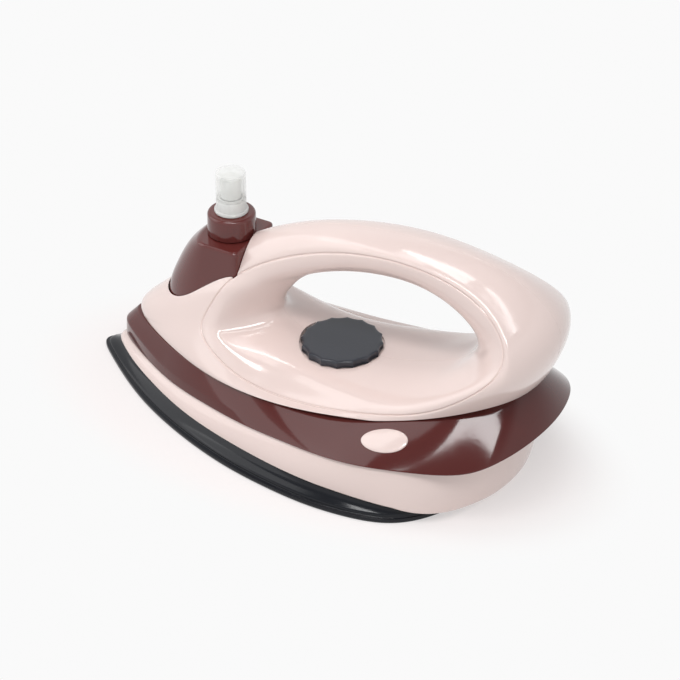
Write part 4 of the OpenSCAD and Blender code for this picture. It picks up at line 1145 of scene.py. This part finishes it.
def softbox(name, place, width, height, glow, bearing):
    """Rectangular lamp at a place, faced to the object, with its width at a bearing. The camera
    doesn't see it. Its power, pi times glow and area, makes its surface glow times as bright as
    white."""
    lamp = bpy.data.lights.new(name, "AREA")
    lamp.shape, lamp.size, lamp.size_y = "RECTANGLE", width, height
    lamp.energy = glow * math.pi * width * height
    holder = bpy.data.objects.new(name, lamp)
    holder.location = place
    back = (Vector(place) - Vector(LAMP_TARGET)).normalized()
    turn = math.radians(bearing)
    side = Vector((math.cos(turn), math.sin(turn), 0))
    side = (side - back * side.dot(back)).normalized()
    holder.rotation_euler = Matrix((side, back.cross(side), back)).transposed().to_euler()
    holder.visible_camera = False
    bpy.context.scene.collection.objects.link(holder)


def studio_sky(tree, pale):
    """Pale background for the camera and through clear pieces, and for reflections up to the
    top of the studio's pale walls. Above them, and for all other light, it is dimmer."""
    f = Tree(tree)
    path = {ray: f.node("ShaderNodeLightPath", out=ray) for ray in
            ("Is Camera Ray", "Is Transmission Ray", "Is Glossy Ray")}
    way = f.node("ShaderNodeTexCoord", out="Generated")
    high = f.step(f.node("ShaderNodeSeparateXYZ", None, {0: way}, out="Z"), *WALL_TOP)
    shown = path["Is Camera Ray"] + path["Is Transmission Ray"]
    shown = shown + path["Is Glossy Ray"] * (1.0 - high)
    lit = f.node("ShaderNodeBackground", None, {"Color": SKY_COLOUR, "Strength": SKY_GLOW})
    seen = f.node("ShaderNodeBackground", None, {"Color": (*pale, 1), "Strength": 1.0})
    either = f.node("ShaderNodeMixShader", None, {0: shown.clamped(), 1: lit, 2: seen})
    f.node("ShaderNodeOutputWorld", None, {"Surface": either})


class TOYIRON_OT_stage(Operator):
    """Makes the floor, the soft studio light and the camera"""
    bl_idname = "toyiron.stage"
    bl_label = "Stage"

    def execute(self, context):
        scene = context.scene
        pale = tuple(scene.toy_iron_colours.floor)
        lines = 25
        run = np.linspace(-FLOOR_HALF, FLOOR_HALF, lines)
        x, y = np.meshgrid(run, run)
        points = np.stack([x, y, 0 * x - FLOOR_DROP], axis=-1).reshape(-1, 3)
        floor = mesh_of("floor", points, [grid_quads(lines, lines)])
        floor.data.materials.append(floor_finish(pale))

        for lamp in LAMPS:
            softbox(*lamp)

        world = bpy.data.worlds.new("studio")
        world.use_nodes = True
        studio_sky(world.node_tree, pale)
        scene.world = world

        turn, tilt = math.radians(CAMERA_TURN), math.radians(CAMERA_TILT)
        back = Vector((math.sin(turn) * math.cos(tilt), -math.cos(turn) * math.cos(tilt),
                       math.sin(tilt)))
        lens = bpy.data.cameras.new("camera")
        lens.sensor_width, lens.lens = SENSOR, SENSOR * FOCAL_PIXELS / PHOTO_PIXELS
        lens.clip_start, lens.clip_end = 0.05, 20
        camera = bpy.data.objects.new("camera", lens)
        camera.location = Vector(CAMERA_TARGET) + CAMERA_DISTANCE * back
        camera.rotation_euler = (-back).to_track_quat("-Z", "Y").to_euler()
        scene.collection.objects.link(camera)
        scene.camera = camera
        scene.view_settings.view_transform = "Standard"
        return {"FINISHED"}


OPERATORS = (
    TOYIRON_OT_upper_shell, TOYIRON_OT_band, TOYIRON_OT_inserts, TOYIRON_OT_lower_shell,
    TOYIRON_OT_soleplate, TOYIRON_OT_dial, TOYIRON_OT_tank, TOYIRON_OT_sprayer,
    TOYIRON_OT_small_parts, TOYIRON_OT_stage)
GROUPS = {
    "toy_iron_sizes": ToyIronSizes, "toy_iron_dial": ToyIronDial,
    "toy_iron_tank": ToyIronTank, "toy_iron_colours": ToyIronColours}


class TOYIRON_PT_panel(Panel):
    """Lists the sizes, colours and pieces of the toy iron"""
    bl_idname = "TOYIRON_PT_panel"
    bl_label = "Toy iron"
    bl_space_type = "VIEW_3D"
    bl_region_type = "UI"
    bl_category = "Toy iron"

    def draw(self, context):
        for name, group in GROUPS.items():
            box = self.layout.box()
            box.label(text=group.__doc__)
            for key in group.__annotations__:
                box.prop(getattr(context.scene, name), key)
        for operator in OPERATORS:
            self.layout.operator(operator.bl_idname)


def register():
    """Registers the classes and hangs the sizes and colours on the scene."""
    for cls in (*GROUPS.values(), *OPERATORS, TOYIRON_PT_panel):
        bpy.utils.register_class(cls)
    for name, group in GROUPS.items():
        setattr(bpy.types.Scene, name, PointerProperty(type=group))


def unregister():
    """Takes off what register put on."""
    for name in GROUPS:
        delattr(bpy.types.Scene, name)
    for cls in (TOYIRON_PT_panel, *reversed(OPERATORS), *GROUPS.values()):
        bpy.utils.unregister_class(cls)


def main():
    """Makes every piece and the stage."""
    register()
    for operator in OPERATORS:
        group, name = operator.bl_idname.split(".")
        getattr(getattr(bpy.ops, group), name)()


if __name__ == "__main__":
    main()
